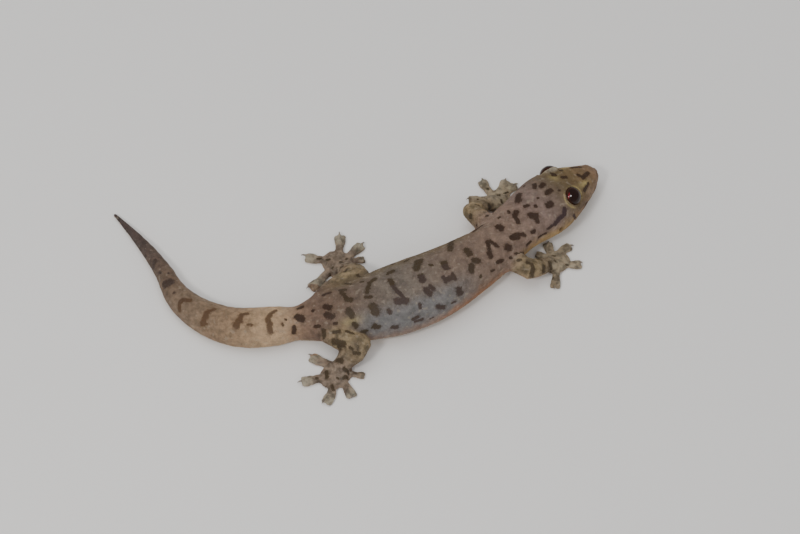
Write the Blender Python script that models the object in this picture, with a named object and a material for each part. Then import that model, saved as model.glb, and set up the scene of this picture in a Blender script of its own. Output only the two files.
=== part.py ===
"""Stump-toed gecko, life size, lying flat on the surface that it clings to.

Lengths are in millimetres until a mesh is made. The floor is z = 0, the animal heads towards
+X and +Y, and its own left side is the +Y side. Distances along the body are counted from the
tip of the snout backwards.
"""
import math
from collections import namedtuple

import bmesh
import bpy
import numpy as np
from mathutils import Matrix, Vector

MM = 0.001
GAP = 0.3
ORIGIN = (-6.865, -3.993)
FLOOR = 0.0
WELD = 0.000002
SHARP_ANGLE = 40.0

# Line of the spine on the floor plane, from the snout to the tip of the tail.
SPINE = np.array([
    (31.1, 17.0), (26.1, 12.6), (22.7, 9.2), (17.4, 4.2), (14.3, 1.1), (10.1, -2.1),
    (4.6, -5.7), (-4.3, -9.5), (-12.3, -11.1), (-17.8, -12.0), (-25.4, -12.2),
    (-30.7, -9.9), (-34.3, -6.5), (-36.8, -1.7), (-42.2, 6.2), (-44.9, 9.5),
])

# Distance from the snout, half width, height of the back, height of the underside.
# An underside below the floor is pressed flat on it.
PROFILE = np.array([
    (0.3, 0.95, 3.15, 1.50), (1.2, 1.66, 3.80, 1.00), (2.6, 2.52, 4.60, 0.75),
    (4.6, 3.42, 5.50, 0.60), (7.0, 4.15, 6.30, 0.55), (9.0, 4.60, 6.75, 0.60),
    (11.5, 4.85, 7.00, 0.75), (14.5, 4.72, 7.00, 0.95), (17.5, 4.35, 6.95, 1.00),
    (21.0, 4.15, 6.85, 0.50), (25.0, 4.30, 6.95, 0.05), (30.0, 4.90, 7.20, -0.15),
    (36.0, 5.60, 7.50, -0.25), (42.0, 5.55, 7.50, -0.25), (47.0, 4.85, 6.95, -0.15),
    (51.0, 4.20, 6.10, -0.12), (54.0, 3.35, 5.15, -0.10), (56.5, 2.60, 4.45, -0.08),
    (59.2, 3.05, 4.30, -0.12), (63.0, 3.22, 4.25, -0.15), (68.0, 2.95, 4.00, -0.15),
    (74.0, 2.30, 3.60, -0.12), (80.0, 1.55, 2.90, -0.10), (87.0, 1.00, 2.00, -0.08),
    (92.5, 0.52, 1.20, -0.05), (96.1, 0.22, 0.60, 0.00),
])
# A section is widest at this part of its height, and rounder above than below.
WAIST_PART = 0.42
UPPER_POWER = 2.15
LOWER_POWER = 2.5
SPINE_STEP = 0.5

# Where the body is divided.
HEAD_END = 14.5
NECK_END = 20.4
TORSO_END = 54.6
TAIL_BASE_END = 67.0
TAIL_MIDDLE_END = 81.5
TAIL_TIP = 96.5
TAIL_TIP_HEIGHT = 0.35

# Rings along each length and points round each ring.
NECK_MESH = (6, 28)
TORSO_MESH = (18, 28)
TAIL_BASE_MESH = (9, 20)
TAIL_MIDDLE_MESH = (10, 18)
TAIL_TIP_MESH = (9, 14)
HEAD_RINGS = (0.3, 0.75, 1.3, 2.0, 2.9, 3.9, 4.9, 5.9, 6.9, 7.9, 8.9, 9.9, 11.0, 12.2, 13.4,
              HEAD_END - GAP / 2.0)
SNOUT_TIP = 0.25

# Mouth: its height at the snout and at its corner, and the groove between the lips.
MOUTH_CORNER = 9.6
MOUTH_HEIGHT_FRONT = 2.1
MOUTH_HEIGHT_BACK = 2.55
LIP_HALF = 0.17
GROOVE_DEPTH = 0.32
GROOVE_FADE = 1.5
# Round the snout the groove points at a place this far behind its tip.
SNOUT_CORE = 3.4
# Steps from the upper lip to the crown and from the lower lip to the throat.
LIP_STEPS = (8, 5)

# Eyes: place of each ball, 1 being the left one and -1 the right one because the head is turned a
# little off the line of the neck, then its radius, its line of sight in degrees, and the raised rim
# round it.
EYE_BEHIND = {1: 7.5, -1: 8.1}
EYE_OUT = {1: 2.75, -1: 2.4}
EYE_UP = 5.0
EYE_RADIUS = 1.55
GAZE_UP = 40.0
GAZE_FORWARD = 4.0
RIM_RADIUS = 1.85
RIM_TUBE = 0.34
RIM_OUT = 0.15
EYE_MESH = (22, 14)
SOCKET_MESH = (24, 14)
RIM_MESH = (24, 8)

NOSTRIL_BEHIND = 0.95
NOSTRIL_RADIUS = 0.27
NOSTRIL_ABOVE_MOUTH = 0.95
NOSTRIL_MESH = (8, 6)
EAR_BEHIND = 12.7
EAR_HEIGHT = 3.3
EAR_OUT = 0.15
EAR_RADII = (0.42, 0.55, 0.75)
EAR_MESH = (10, 8)

# A digit: heading and reach of its root from the middle of the palm, heading and reach of the
# middle of its pad from the root, heading and reach of the tip of the claw from the middle of
# the pad, half width and half length of the pad. Headings are degrees from +X.
Digit = namedtuple("Digit", "root_turn root_reach pad_turn pad_reach claw_turn claw_reach half long")
# Sections of a digit's slim length, from the palm to the pad: part of the pad's half width,
# height of the sole, height of the back.
SLIM_SECTIONS = ((0.90, 0.18, 0.92), (0.84, 0.18, 0.84), (0.58, 0.18, 0.74), (0.62, 0.09, 0.68))
PALM_CORE = 0.1
# Sections of the pad: part of its half length from its middle, part of its half width, sole, back.
PAD_SECTIONS = (
    (-0.55, 0.86, -0.10, 0.66), (0.0, 1.0, -0.12, 0.66), (0.50, 0.98, -0.12, 0.62),
    (0.85, 0.76, -0.12, 0.54), (1.0, 0.46, -0.10, 0.46),
)
PAD_NOTCH = (0.82, 0.33)
PAD_SIDES = 10
PAD_SQUARENESS = 0.8
TURN_STEP = 0.1
# The claw's slim joint rises out of the pad: part of its reach, height, radius.
CLAW = ((-0.35, 0.42, 0.30), (0.45, 0.66, 0.28), (0.75, 0.74, 0.20), (0.92, 0.55, 0.12))
CLAW_TIP_HEIGHT = 0.22
CLAW_SIDES = 6

# Limbs: shoulder or hip, elbow or knee, wrist or ankle, middle of the palm; then the thickness
# of the upper and the lower length as (part of the length, half width, half height), and the
# half width and half length of the palm.
LIMBS = {
    "arm_left": {
        "names": ("upper_arm_left", "forearm_left", "hand_left"),
        "points": ((14.4, 4.6, 3.9), (11.2, 8.3, 3.2), (13.9, 11.2, 1.25), (15.4, 12.4, 0.55)),
        "upper": ((0.0, 2.0, 1.9), (0.45, 1.75, 1.7), (1.0, 1.35, 1.35)),
        "lower": ((0.0, 1.35, 1.35), (0.35, 1.35, 1.3), (0.75, 1.1, 1.0), (1.0, 1.0, 0.88)),
        "palm": (1.65, 1.55),
        "digits": (
            Digit(-1, 1.0, 0, 1.35, 0, 0.0, 0.58, 0.75),
            Digit(49, 1.35, 47, 2.0, 35, 1.38, 0.80, 1.1),
            Digit(83, 1.4, 61, 1.9, 72, 1.34, 0.82, 1.15),
            Digit(126, 1.2, 121, 2.5, 108, 1.30, 0.82, 1.15),
            Digit(172, 1.2, 179, 2.35, 176, 1.33, 0.82, 1.15),
        ),
    },
    "arm_right": {
        "names": ("upper_arm_right", "forearm_right", "hand_right"),
        "points": ((15.6, 0.2, 3.8), (20.0, -2.6, 3.2), (23.3, -0.4, 1.25), (24.5, 0.5, 0.55)),
        "upper": ((0.0, 2.0, 1.9), (0.45, 1.8, 1.75), (1.0, 1.5, 1.5)),
        "lower": ((0.0, 1.5, 1.5), (0.35, 1.5, 1.45), (0.75, 1.2, 1.1), (1.0, 1.05, 0.9)),
        "palm": (1.6, 1.42),
        "digits": (
            Digit(137, 1.2, 158, 1.9, 156, 0.0, 0.58, 0.75),
            Digit(117, 1.35, 109, 1.75, 93, 1.2, 0.80, 1.1),
            Digit(83, 1.5, 45, 1.75, 23, 1.45, 0.80, 1.1),
            Digit(-10, 0.9, -4, 2.0, 15, 1.2, 0.80, 1.1),
            Digit(-95, 1.3, -94, 2.35, -104, 1.3, 0.82, 1.15),
        ),
    },
    "leg_left": {
        "names": ("thigh_left", "shank_left", "foot_left"),
        "points": ((-12.9, -9.3, 3.2), (-6.5, -4.2, 3.3), (-8.6, -1.3, 1.35), (-9.6, 0.1, 0.6)),
        "upper": ((0.0, 1.5, 1.5), (0.3, 2.15, 1.9), (0.65, 2.3, 2.0), (1.0, 1.85, 1.6)),
        "lower": ((0.0, 1.85, 1.6), (0.35, 2.05, 1.6), (0.75, 1.65, 1.2), (1.0, 1.35, 1.0)),
        "palm": (2.05, 1.85),
        "digits": (
            Digit(17, 1.6, 16, 1.95, 5, 0.0, 0.62, 0.85),
            Digit(44, 1.7, 49, 2.5, 45, 1.7, 0.88, 1.3),
            Digit(90, 1.6, 87, 2.9, 94, 1.86, 0.90, 1.4),
            Digit(152, 1.5, 169, 2.75, 161, 2.0, 0.90, 1.4),
            Digit(-141, 1.5, -131, 3.5, -152, 1.7, 0.90, 1.45),
        ),
    },
    "leg_right": {
        "names": ("thigh_right", "shank_right", "foot_right"),
        "points": ((-13.2, -12.3, 3.2), (-6.3, -16.3, 3.3), (-8.7, -18.7, 1.35), (-9.7, -19.9, 0.6)),
        "upper": ((0.0, 1.5, 1.5), (0.3, 2.15, 1.9), (0.65, 2.3, 2.0), (1.0, 1.85, 1.6)),
        "lower": ((0.0, 1.85, 1.6), (0.35, 2.05, 1.6), (0.75, 1.65, 1.2), (1.0, 1.35, 1.0)),
        "palm": (2.0, 1.75),
        "digits": (
            Digit(2, 1.6, -8, 2.0, -6, 0.0, 0.62, 0.85),
            Digit(-54, 1.6, -60, 2.1, -71, 1.4, 0.88, 1.3),
            Digit(-102, 1.6, -104, 2.75, -136, 1.6, 0.90, 1.35),
            Digit(-160, 1.35, -166, 2.9, -167, 1.9, 0.90, 1.4),
            Digit(121, 1.5, 150, 2.5, 146, 1.75, 0.90, 1.4),
        ),
    },
}
# The palm from the wrist to its middle, then on to its front edge: part of the way, part of
# the palm's half width, half height.
PALM_RISE = ((0.35, 0.78, 0.82), (0.70, 0.92, 0.70), (1.0, 1.0, 0.60))
PALM_FRONT = ((0.35, 0.93, 0.54), (0.65, 0.74, 0.48), (0.90, 0.44, 0.38))
LIMB_RINGS = 7
LIMB_SIDES = 16
DOME_ANGLES = (28.0, 55.0, 75.0)
# A limb is cut clear of the trunk from a little ahead of the neck to a little behind the vent.
CLEARANCE_REACH = 1.0
CLEARANCE_MESH = (24, 28)

# Name, colour and roughness of each finish.
HEAD_SKIN = ("head_skin", (0.16, 0.13, 0.08), 0.60)
BODY_SKIN = ("body_skin", (0.19, 0.14, 0.11), 0.62)
TAIL_SKIN = ("tail_skin", (0.33, 0.23, 0.15), 0.62)
LIMB_SKIN = ("limb_skin", (0.18, 0.14, 0.09), 0.62)
FOOT_SKIN = ("foot_skin", (0.22, 0.17, 0.13), 0.58)
EYE_CORNEA = ("eye_cornea", (0.022, 0.008, 0.004), 0.06)


def smooth(knots, values, x):
    """Value at x of the smooth curve that passes through the values at the knots."""
    steps = np.diff(knots)
    chords = np.diff(values, axis=0) / (steps[:, None] if values.ndim > 1 else steps)
    before, after = steps[:-1], steps[1:]
    if values.ndim > 1:
        before, after = before[:, None], after[:, None]
    inner = (chords[:-1] * after + chords[1:] * before) / (before + after)
    slopes = np.concatenate([chords[:1], inner, chords[-1:]])
    i = int(np.clip(np.searchsorted(knots, x) - 1, 0, len(steps) - 1))
    t = (x - knots[i]) / steps[i]
    rise = values[i + 1] - values[i]
    return (values[i] + t * slopes[i] * steps[i]
            + t * t * (3.0 * rise - (2.0 * slopes[i] + slopes[i + 1]) * steps[i])
            + t ** 3 * ((slopes[i] + slopes[i + 1]) * steps[i] - 2.0 * rise))


SPINE_KNOTS = np.concatenate([[0.0], np.cumsum(np.linalg.norm(np.diff(SPINE, axis=0), axis=1))])


def spine_frame(behind):
    """Point on the spine and the directions backwards and to the animal's left."""
    here = smooth(SPINE_KNOTS, SPINE, behind)
    ahead = smooth(SPINE_KNOTS, SPINE, behind - SPINE_STEP)
    after = smooth(SPINE_KNOTS, SPINE, behind + SPINE_STEP)
    back = (after - ahead) / np.linalg.norm(after - ahead)
    return here, back, np.array([back[1], -back[0]])


def on_body(behind, left, height):
    """Point given by its distance behind the snout, to the left of the spine and above the floor."""
    here, _, side = spine_frame(behind)
    return np.array([*(here + side * left), height])


def body_size(behind):
    """Half width, back height and underside height at a distance behind the snout."""
    return smooth(PROFILE[:, 0], PROFILE[:, 1:], behind)


def flank(behind, height):
    """Half width of the body at one height above the floor."""
    half, top, bottom = body_size(behind)
    waist = bottom + WAIST_PART * (top - bottom)
    if height > waist:
        part, power = (height - waist) / (top - waist), UPPER_POWER
    else:
        part, power = (waist - height) / (waist - bottom), LOWER_POWER
    return half * max(0.0, 1.0 - min(1.0, part) ** power) ** (1.0 / power)


def body_ring(behind, sides, grow=0.0):
    """Closed section of the body, grown outwards if asked, round from the left flank over the back."""
    half, top, bottom = body_size(behind) + np.array([grow, grow, -grow])
    waist = bottom + WAIST_PART * (top - bottom)
    ring = []
    for k in range(sides):
        angle = 2.0 * math.pi * k / sides
        across, up = math.cos(angle), math.sin(angle)
        power = UPPER_POWER if up > 0.0 else LOWER_POWER
        reach = (top - waist) if up > 0.0 else (waist - bottom)
        left = half * math.copysign(abs(across) ** (2.0 / power), across)
        height = waist + reach * math.copysign(abs(up) ** (2.0 / power), up)
        ring.append(on_body(behind, left, max(FLOOR, height)))
    return ring


def mouth_height(behind):
    """Height of the line between the lips."""
    part = min(1.0, behind / MOUTH_CORNER)
    return MOUTH_HEIGHT_FRONT + (MOUTH_HEIGHT_BACK - MOUTH_HEIGHT_FRONT) * part ** 2


def head_ring(behind):
    """Section of the head, with the lips and the groove between them on each side."""
    _, top, bottom = body_size(behind)
    line = mouth_height(behind)
    above, below = LIP_STEPS
    upper_lip, lower_lip = line + LIP_HALF, line - LIP_HALF
    turns = [math.pi / 2.0 * k / above for k in range(above + 1)]
    edge = [upper_lip + (top - upper_lip) * math.cos(turn) for turn in turns]
    side = [(behind, flank(behind, height), height) for height in edge]
    out = flank(behind, line)
    depth = GROOVE_DEPTH * min(1.0, max(0.0, (MOUTH_CORNER - behind) / GROOVE_FADE))
    inwards = np.array([max(SNOUT_CORE - behind, 0.0), -out])
    inwards *= depth / np.linalg.norm(inwards)
    side.append((behind + inwards[0], out + inwards[1], line))
    turns = [math.pi / 2.0 * k / below for k in range(below + 1)]
    edge = [lower_lip - (lower_lip - bottom) * math.sin(turn) for turn in turns]
    side += [(behind, flank(behind, height), height) for height in edge]
    left = [on_body(*place) for place in side]
    right = [on_body(place[0], -place[1], place[2]) for place in reversed(side[1:-1])]
    return left + right


def loft(rings, first_tip=None, last_tip=None):
    """Closed skin over a row of rings, ending in tips or in flat ends."""
    bm = bmesh.new()
    loops = [[bm.verts.new(Vector(point)) for point in ring] for ring in rings]
    for near, far in zip(loops, loops[1:]):
        for k in range(len(near)):
            j = (k + 1) % len(near)
            bm.faces.new((near[k], near[j], far[j], far[k]))
    for loop, tip in ((loops[0], first_tip), (loops[-1], last_tip)):
        if tip is None:
            bm.faces.new(loop)
            continue
        point = bm.verts.new(Vector(tip))
        for k in range(len(loop)):
            bm.faces.new((loop[k], loop[(k + 1) % len(loop)], point))
    bmesh.ops.recalc_face_normals(bm, faces=bm.faces)
    return bm


def solid(name, bm, finish):
    """Object of the mesh, moved to the model's origin and turned from millimetres to metres."""
    bmesh.ops.translate(bm, verts=bm.verts, vec=(-ORIGIN[0], -ORIGIN[1], 0.0))
    bmesh.ops.scale(bm, verts=bm.verts, vec=(MM, MM, MM))
    mesh = bpy.data.meshes.new(name)
    bm.to_mesh(mesh)
    bm.free()
    mesh.shade_smooth()
    mesh.set_sharp_from_angle(angle=math.radians(SHARP_ANGLE))
    obj = bpy.data.objects.new(name, mesh)
    bpy.context.scene.collection.objects.link(obj)
    mesh.materials.append(material(*finish))
    return obj


def material(name, colour, roughness):
    """Principled material of one finish."""
    found = bpy.data.materials.get(name)
    if found:
        return found
    made = bpy.data.materials.new(name)
    made.use_nodes = True
    shader = made.node_tree.nodes["Principled BSDF"]
    shader.inputs["Base Color"].default_value = (*colour, 1.0)
    shader.inputs["Roughness"].default_value = roughness
    made.diffuse_color = (*colour, 1.0)
    return made


def apply_boolean(obj, operation, tools):
    """Join the tools to an object or cut them away, then keep the largest closed surface."""
    group = bpy.data.collections.new("tools")
    bpy.context.scene.collection.children.link(group)
    for tool in tools:
        bpy.context.scene.collection.objects.unlink(tool)
        group.objects.link(tool)
    change = obj.modifiers.new("join", "BOOLEAN")
    change.operation = operation
    change.solver = "EXACT"
    change.operand_type = "COLLECTION"
    change.collection = group
    evaluated = obj.evaluated_get(bpy.context.evaluated_depsgraph_get())
    shape = bpy.data.meshes.new_from_object(evaluated)
    obj.modifiers.remove(change)
    obj.data = shape
    for tool in tools:
        bpy.data.objects.remove(tool)
    bpy.data.collections.remove(group)
    keep_largest(obj)


def keep_largest(obj):
    """Drop every closed surface of a mesh but the one with the most faces."""
    bm = bmesh.new()
    bm.from_mesh(obj.data)
    bmesh.ops.remove_doubles(bm, verts=bm.verts, dist=WELD)
    left = set(bm.faces)
    islands = []
    while left:
        island, edge_of = set(), [left.pop()]
        while edge_of:
            face = edge_of.pop()
            island.add(face)
            near = {other for edge in face.edges for other in edge.link_faces} & left
            left -= near
            edge_of.extend(near)
        islands.append(island)
    largest = max(islands, key=len)
    loose = [face for island in islands if island is not largest for face in island]
    bmesh.ops.delete(bm, geom=loose, context="FACES")
    bm.to_mesh(obj.data)
    bm.free()


def part_at(bm, point, normal):
    """Cut a mesh flat at a plane and keep what lies behind the plane."""
    geometry = bm.verts[:] + bm.edges[:] + bm.faces[:]
    bmesh.ops.bisect_plane(bm, geom=geometry, dist=0.0001, plane_co=Vector(point),
                           plane_no=Vector(normal), clear_outer=True)
    rim = [edge for edge in bm.edges if edge.is_boundary]
    bmesh.ops.holes_fill(bm, edges=rim, sides=0)
    bmesh.ops.recalc_face_normals(bm, faces=bm.faces)


def trunk_length(start, end, mesh, grow=0.0):
    """Rings of the body between two distances behind the snout; mesh is (rings, points round)."""
    rings, sides = mesh
    return [body_ring(start + (end - start) * k / (rings - 1), sides, grow) for k in range(rings)]


def make_trunk():
    """Neck, torso and the three lengths of the tail."""
    half_gap = GAP / 2.0
    lengths = [
        ("neck", HEAD_END, NECK_END, NECK_MESH, BODY_SKIN),
        ("torso", NECK_END, TORSO_END, TORSO_MESH, BODY_SKIN),
        ("tail_base", TORSO_END, TAIL_BASE_END, TAIL_BASE_MESH, TAIL_SKIN),
        ("tail_middle", TAIL_BASE_END, TAIL_MIDDLE_END, TAIL_MIDDLE_MESH, TAIL_SKIN),
    ]
    for name, start, end, mesh, finish in lengths:
        solid(name, loft(trunk_length(start + half_gap, end - half_gap, mesh)), finish)
    last_ring = PROFILE[-1, 0]
    rings = trunk_length(TAIL_MIDDLE_END + half_gap, last_ring, TAIL_TIP_MESH)
    solid("tail_tip", loft(rings, last_tip=on_body(TAIL_TIP, 0.0, TAIL_TIP_HEIGHT)), TAIL_SKIN)


def gaze(side):
    """Direction in which an eye looks; side is 1 for the left eye and -1 for the right."""
    _, back, left = spine_frame(EYE_BEHIND[side])
    up, forward = math.radians(GAZE_UP), math.radians(GAZE_FORWARD)
    flat = left * side * math.cos(forward) - back * math.sin(forward)
    return Vector((*(flat * math.cos(up)), math.sin(up)))


def ball(centre, radii, turn, mesh):
    """Closed ellipsoid whose axes are turned by a rotation matrix; mesh is (segments, rings)."""
    bm = bmesh.new()
    bmesh.ops.create_uvsphere(bm, u_segments=mesh[0], v_segments=mesh[1], radius=1.0)
    place = Matrix.Translation(Vector(centre)) @ turn.to_4x4() @ Matrix.Diagonal((*radii, 1.0))
    bmesh.ops.transform(bm, matrix=place, verts=bm.verts)
    return bm


def eye_rim(centre, axis):
    """Closed ring about an axis."""
    turn = Vector(axis).to_track_quat("Z", "Y").to_matrix()
    segments, sides = RIM_MESH
    upright = Matrix.Rotation(math.pi / 2.0, 3, "X")
    bm = bmesh.new()
    bmesh.ops.create_circle(bm, segments=sides, radius=RIM_TUBE)
    bmesh.ops.rotate(bm, verts=bm.verts, cent=(0, 0, 0), matrix=upright)
    bmesh.ops.translate(bm, verts=bm.verts, vec=(RIM_RADIUS, 0.0, 0.0))
    bmesh.ops.spin(bm, geom=bm.verts[:] + bm.edges[:], cent=(0, 0, 0), axis=(0, 0, 1),
                   angle=2.0 * math.pi, steps=segments, use_merge=True)
    bmesh.ops.transform(bm, matrix=Matrix.Translation(Vector(centre)) @ turn.to_4x4(), verts=bm.verts)
    bmesh.ops.recalc_face_normals(bm, faces=bm.faces)
    return bm


def make_head():
    """Head with its mouth line, the rims of the eyes, nostrils and ear openings, and the eyes."""
    tip = on_body(SNOUT_TIP, 0.0, MOUTH_HEIGHT_FRONT)
    head = solid("head", loft([head_ring(behind) for behind in HEAD_RINGS], first_tip=tip), HEAD_SKIN)
    rims, cuts = [], []
    for side in (1, -1):
        label = "left" if side > 0 else "right"
        centre = Vector(on_body(EYE_BEHIND[side], side * EYE_OUT[side], EYE_UP))
        look = gaze(side)
        turn = look.to_track_quat("Z", "Y").to_matrix()
        socket = ball(centre, [EYE_RADIUS + GAP] * 3, turn, SOCKET_MESH)
        rims.append(solid("rim", eye_rim(centre + look * RIM_OUT, look), HEAD_SKIN))
        cuts.append(solid("socket", socket, HEAD_SKIN))
        solid("eye_" + label, ball(centre, [EYE_RADIUS] * 3, turn, EYE_MESH), EYE_CORNEA)

        height = mouth_height(NOSTRIL_BEHIND) + NOSTRIL_ABOVE_MOUTH
        nostril = on_body(NOSTRIL_BEHIND, side * flank(NOSTRIL_BEHIND, height), height)
        hole = ball(nostril, [NOSTRIL_RADIUS] * 3, Matrix.Identity(3), NOSTRIL_MESH)
        cuts.append(solid("nostril", hole, HEAD_SKIN))

        ear = on_body(EAR_BEHIND, side * (flank(EAR_BEHIND, EAR_HEIGHT) + EAR_OUT), EAR_HEIGHT)
        _, back, left = spine_frame(EAR_BEHIND)
        turn = Matrix(((back[0], left[0], 0.0), (back[1], left[1], 0.0), (0.0, 0.0, 1.0)))
        cuts.append(solid("ear", ball(ear, EAR_RADII, turn, EAR_MESH), HEAD_SKIN))
    apply_boolean(head, "UNION", rims)
    apply_boolean(head, "DIFFERENCE", cuts)


def tube_ring(centre, direction, half_width, half_height, sides):
    """Section of a limb: an ellipse square to its direction, kept above the floor."""
    along = Vector(direction).normalized()
    side = along.cross(Vector((0.0, 0.0, 1.0))).normalized()
    up = side.cross(along)
    ring = []
    for k in range(sides):
        angle = 2.0 * math.pi * k / sides
        point = Vector(centre) + side * half_width * math.cos(angle) + up * half_height * math.sin(angle)
        point.z = max(FLOOR, point.z)
        ring.append(point)
    return ring


def limb_length(start, end, sizes, round_start, round_end):
    """Limb between two points; sizes are (part of the length, half width, half height).

    A round end closes with a dome about its point, as wide as the limb is there.
    """
    along = (end - start).normalized()
    sizes = np.array(sizes)
    domes = [(math.cos(angle), math.sin(angle)) for angle in np.radians(DOME_ANGLES)]
    parts = np.linspace(0.0, 1.0, LIMB_RINGS)
    marks = [(part, 0.0, smooth(sizes[:, 0], sizes[:, 1:], part)) for part in parts]
    if round_start:
        marks = [(0.0, -far, sizes[0, 1:] * wide) for wide, far in domes[::-1]] + marks
    if round_end:
        marks += [(1.0, far, sizes[-1, 1:] * wide) for wide, far in domes]
    rings = []
    for part, far, size in marks:
        centre = start.lerp(end, part) + along * far * (sizes[0, 1] if far < 0.0 else sizes[-1, 1])
        rings.append(tube_ring(centre, along, size[0], size[1], LIMB_SIDES))
    first_tip = start - along * sizes[0, 1] if round_start else None
    last_tip = end + along * sizes[-1, 1] if round_end else None
    return loft(rings, first_tip, last_tip)


def heading(degrees):
    """Unit direction on the floor plane."""
    return np.array([math.cos(math.radians(degrees)), math.sin(math.radians(degrees))])


def pad_ring(centre, along, half_width, sole, top):
    """Flattened section of a digit, pressed flat where it meets the floor."""
    side = np.array([along[1], -along[0]])
    middle, reach = (top + sole) / 2.0, (top - sole) / 2.0
    ring = []
    for k in range(PAD_SIDES):
        angle = 2.0 * math.pi * (k + 0.5) / PAD_SIDES
        across, up = math.cos(angle), math.sin(angle)
        out = half_width * math.copysign(abs(across) ** PAD_SQUARENESS, across)
        height = middle + reach * math.copysign(abs(up) ** PAD_SQUARENESS, up)
        ring.append((*(centre + side * out), max(FLOOR, height)))
    return ring


def make_digit(palm, digit):
    """Tools for one digit: the slim root, the widened pad with its notched end, and the claw."""
    root = palm + heading(digit.root_turn) * digit.root_reach
    pad = root + heading(digit.pad_turn) * digit.pad_reach
    end = pad + heading((digit.pad_turn + digit.claw_turn) / 2.0) * digit.long
    way = np.array([palm, root, pad, end])
    knots = np.concatenate([[0.0], np.cumsum(np.linalg.norm(np.diff(way, axis=0), axis=1))])
    root_at, pad_at = knots[1], knots[2]
    start = pad_at - digit.long
    places = [PALM_CORE, root_at, (root_at + start) / 2.0, start]
    sections = [(place, *section) for place, section in zip(places, SLIM_SECTIONS)]
    sections += [(pad_at + digit.long * part, *section) for part, *section in PAD_SECTIONS]
    rings = []
    for at, wide, sole, top in sections:
        here = smooth(knots, way, at)
        along = smooth(knots, way, at + TURN_STEP) - smooth(knots, way, at - TURN_STEP)
        rings.append(pad_ring(here, along / np.linalg.norm(along), digit.half * wide, sole, top))
    notch_part, notch_height = PAD_NOTCH
    notch = smooth(knots, way, pad_at + digit.long * notch_part)
    tools = [solid("digit", loft(rings, last_tip=(*notch, notch_height)), FOOT_SKIN)]
    if digit.claw_reach > 0.0:
        line = heading(digit.claw_turn) * digit.claw_reach
        claw = [tube_ring((*(pad + line * part), height), (*line, 0.0), radius, radius, CLAW_SIDES)
                for part, height, radius in CLAW]
        tip = (*(pad + line), CLAW_TIP_HEIGHT)
        tools.append(solid("claw", loft(claw, last_tip=tip), FOOT_SKIN))
    return tools


def clear_of_trunk(obj):
    """Cut a limb where it would enter the neck or the torso, and leave the gap."""
    start, end = HEAD_END - CLEARANCE_REACH, TORSO_END + CLEARANCE_REACH
    grown = loft(trunk_length(start, end, CLEARANCE_MESH, GAP))
    apply_boolean(obj, "DIFFERENCE", [solid("trunk_clearance", grown, BODY_SKIN)])


def make_limb(limb):
    """Upper length cut clear of the trunk, lower length, and the foot with its five digits."""
    upper_name, lower_name, foot_name = limb["names"]
    root, joint, wrist, palm = (Vector(point) for point in limb["points"])
    in_line, out_line = (joint - root).normalized(), (wrist - joint).normalized()
    across = (in_line + out_line).normalized()

    upper = limb_length(root, joint, limb["upper"], False, True)
    part_at(upper, joint - across * GAP / 2.0, across)
    clear_of_trunk(solid(upper_name, upper, LIMB_SKIN))

    half_gap = out_line * GAP / 2.0
    lower = limb_length(joint, wrist - half_gap, limb["lower"], True, False)
    part_at(lower, joint + across * GAP / 2.0, -across)
    clear_of_trunk(solid(lower_name, lower, LIMB_SKIN))

    palm_half, palm_long = limb["palm"]
    wrist_half, wrist_high = limb["lower"][-1][1:]
    flat_way = Vector((palm.x - wrist.x, palm.y - wrist.y, 0.0)).normalized()
    rings = [tube_ring(wrist + half_gap, out_line, wrist_half, wrist_high, LIMB_SIDES)]
    for part, width, height in PALM_RISE:
        way = out_line.lerp(flat_way, part)
        rings.append(tube_ring(wrist.lerp(palm, part), way, palm_half * width, height, LIMB_SIDES))
    for part, width, height in PALM_FRONT:
        front = palm + flat_way * palm_long * part
        rings.append(tube_ring(front, flat_way, palm_half * width, height, LIMB_SIDES))
    foot = solid(foot_name, loft(rings), FOOT_SKIN)
    tools = []
    for digit in limb["digits"]:
        tools += make_digit(np.array(palm[:2]), digit)
    apply_boolean(foot, "UNION", tools)


def clear_scene():
    """Start from an empty scene."""
    for obj in list(bpy.data.objects):
        bpy.data.objects.remove(obj)


def main():
    clear_scene()
    make_head()
    make_trunk()
    for limb in LIMBS.values():
        make_limb(limb)


main()
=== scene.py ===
"""Looks of a stump-toed gecko that lies flat with its toes spread.

One skin covers all of the flesh. Eyes, claws, lip plates and scales are pieces of their own.
Lengths are in millimetres until a piece is finished. The plan is the one that the solids were
drawn on: ORIGIN is where the frame's origin lies in it. Distances along the body are counted from
the tip of the snout backwards, and the animal's own left side is the positive one.
"""
import math
from collections import namedtuple

import bmesh
import bpy
import numpy as np
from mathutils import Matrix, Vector, noise
from mathutils.bvhtree import BVHTree


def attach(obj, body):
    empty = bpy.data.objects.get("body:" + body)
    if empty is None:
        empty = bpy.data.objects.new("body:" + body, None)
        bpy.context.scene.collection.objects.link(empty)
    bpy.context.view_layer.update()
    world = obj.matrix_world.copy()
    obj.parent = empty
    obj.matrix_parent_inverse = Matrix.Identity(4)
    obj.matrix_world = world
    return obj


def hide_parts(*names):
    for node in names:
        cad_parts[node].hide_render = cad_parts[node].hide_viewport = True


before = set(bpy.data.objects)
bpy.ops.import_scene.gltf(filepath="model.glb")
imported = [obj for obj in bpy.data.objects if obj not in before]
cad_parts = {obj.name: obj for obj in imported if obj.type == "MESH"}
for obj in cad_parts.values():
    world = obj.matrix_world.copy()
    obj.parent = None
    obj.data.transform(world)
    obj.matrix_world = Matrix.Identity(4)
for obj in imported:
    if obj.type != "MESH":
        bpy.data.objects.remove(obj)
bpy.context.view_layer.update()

MM = 0.001
ORIGIN = np.array([-6.865, -3.993, 0.0])

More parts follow.
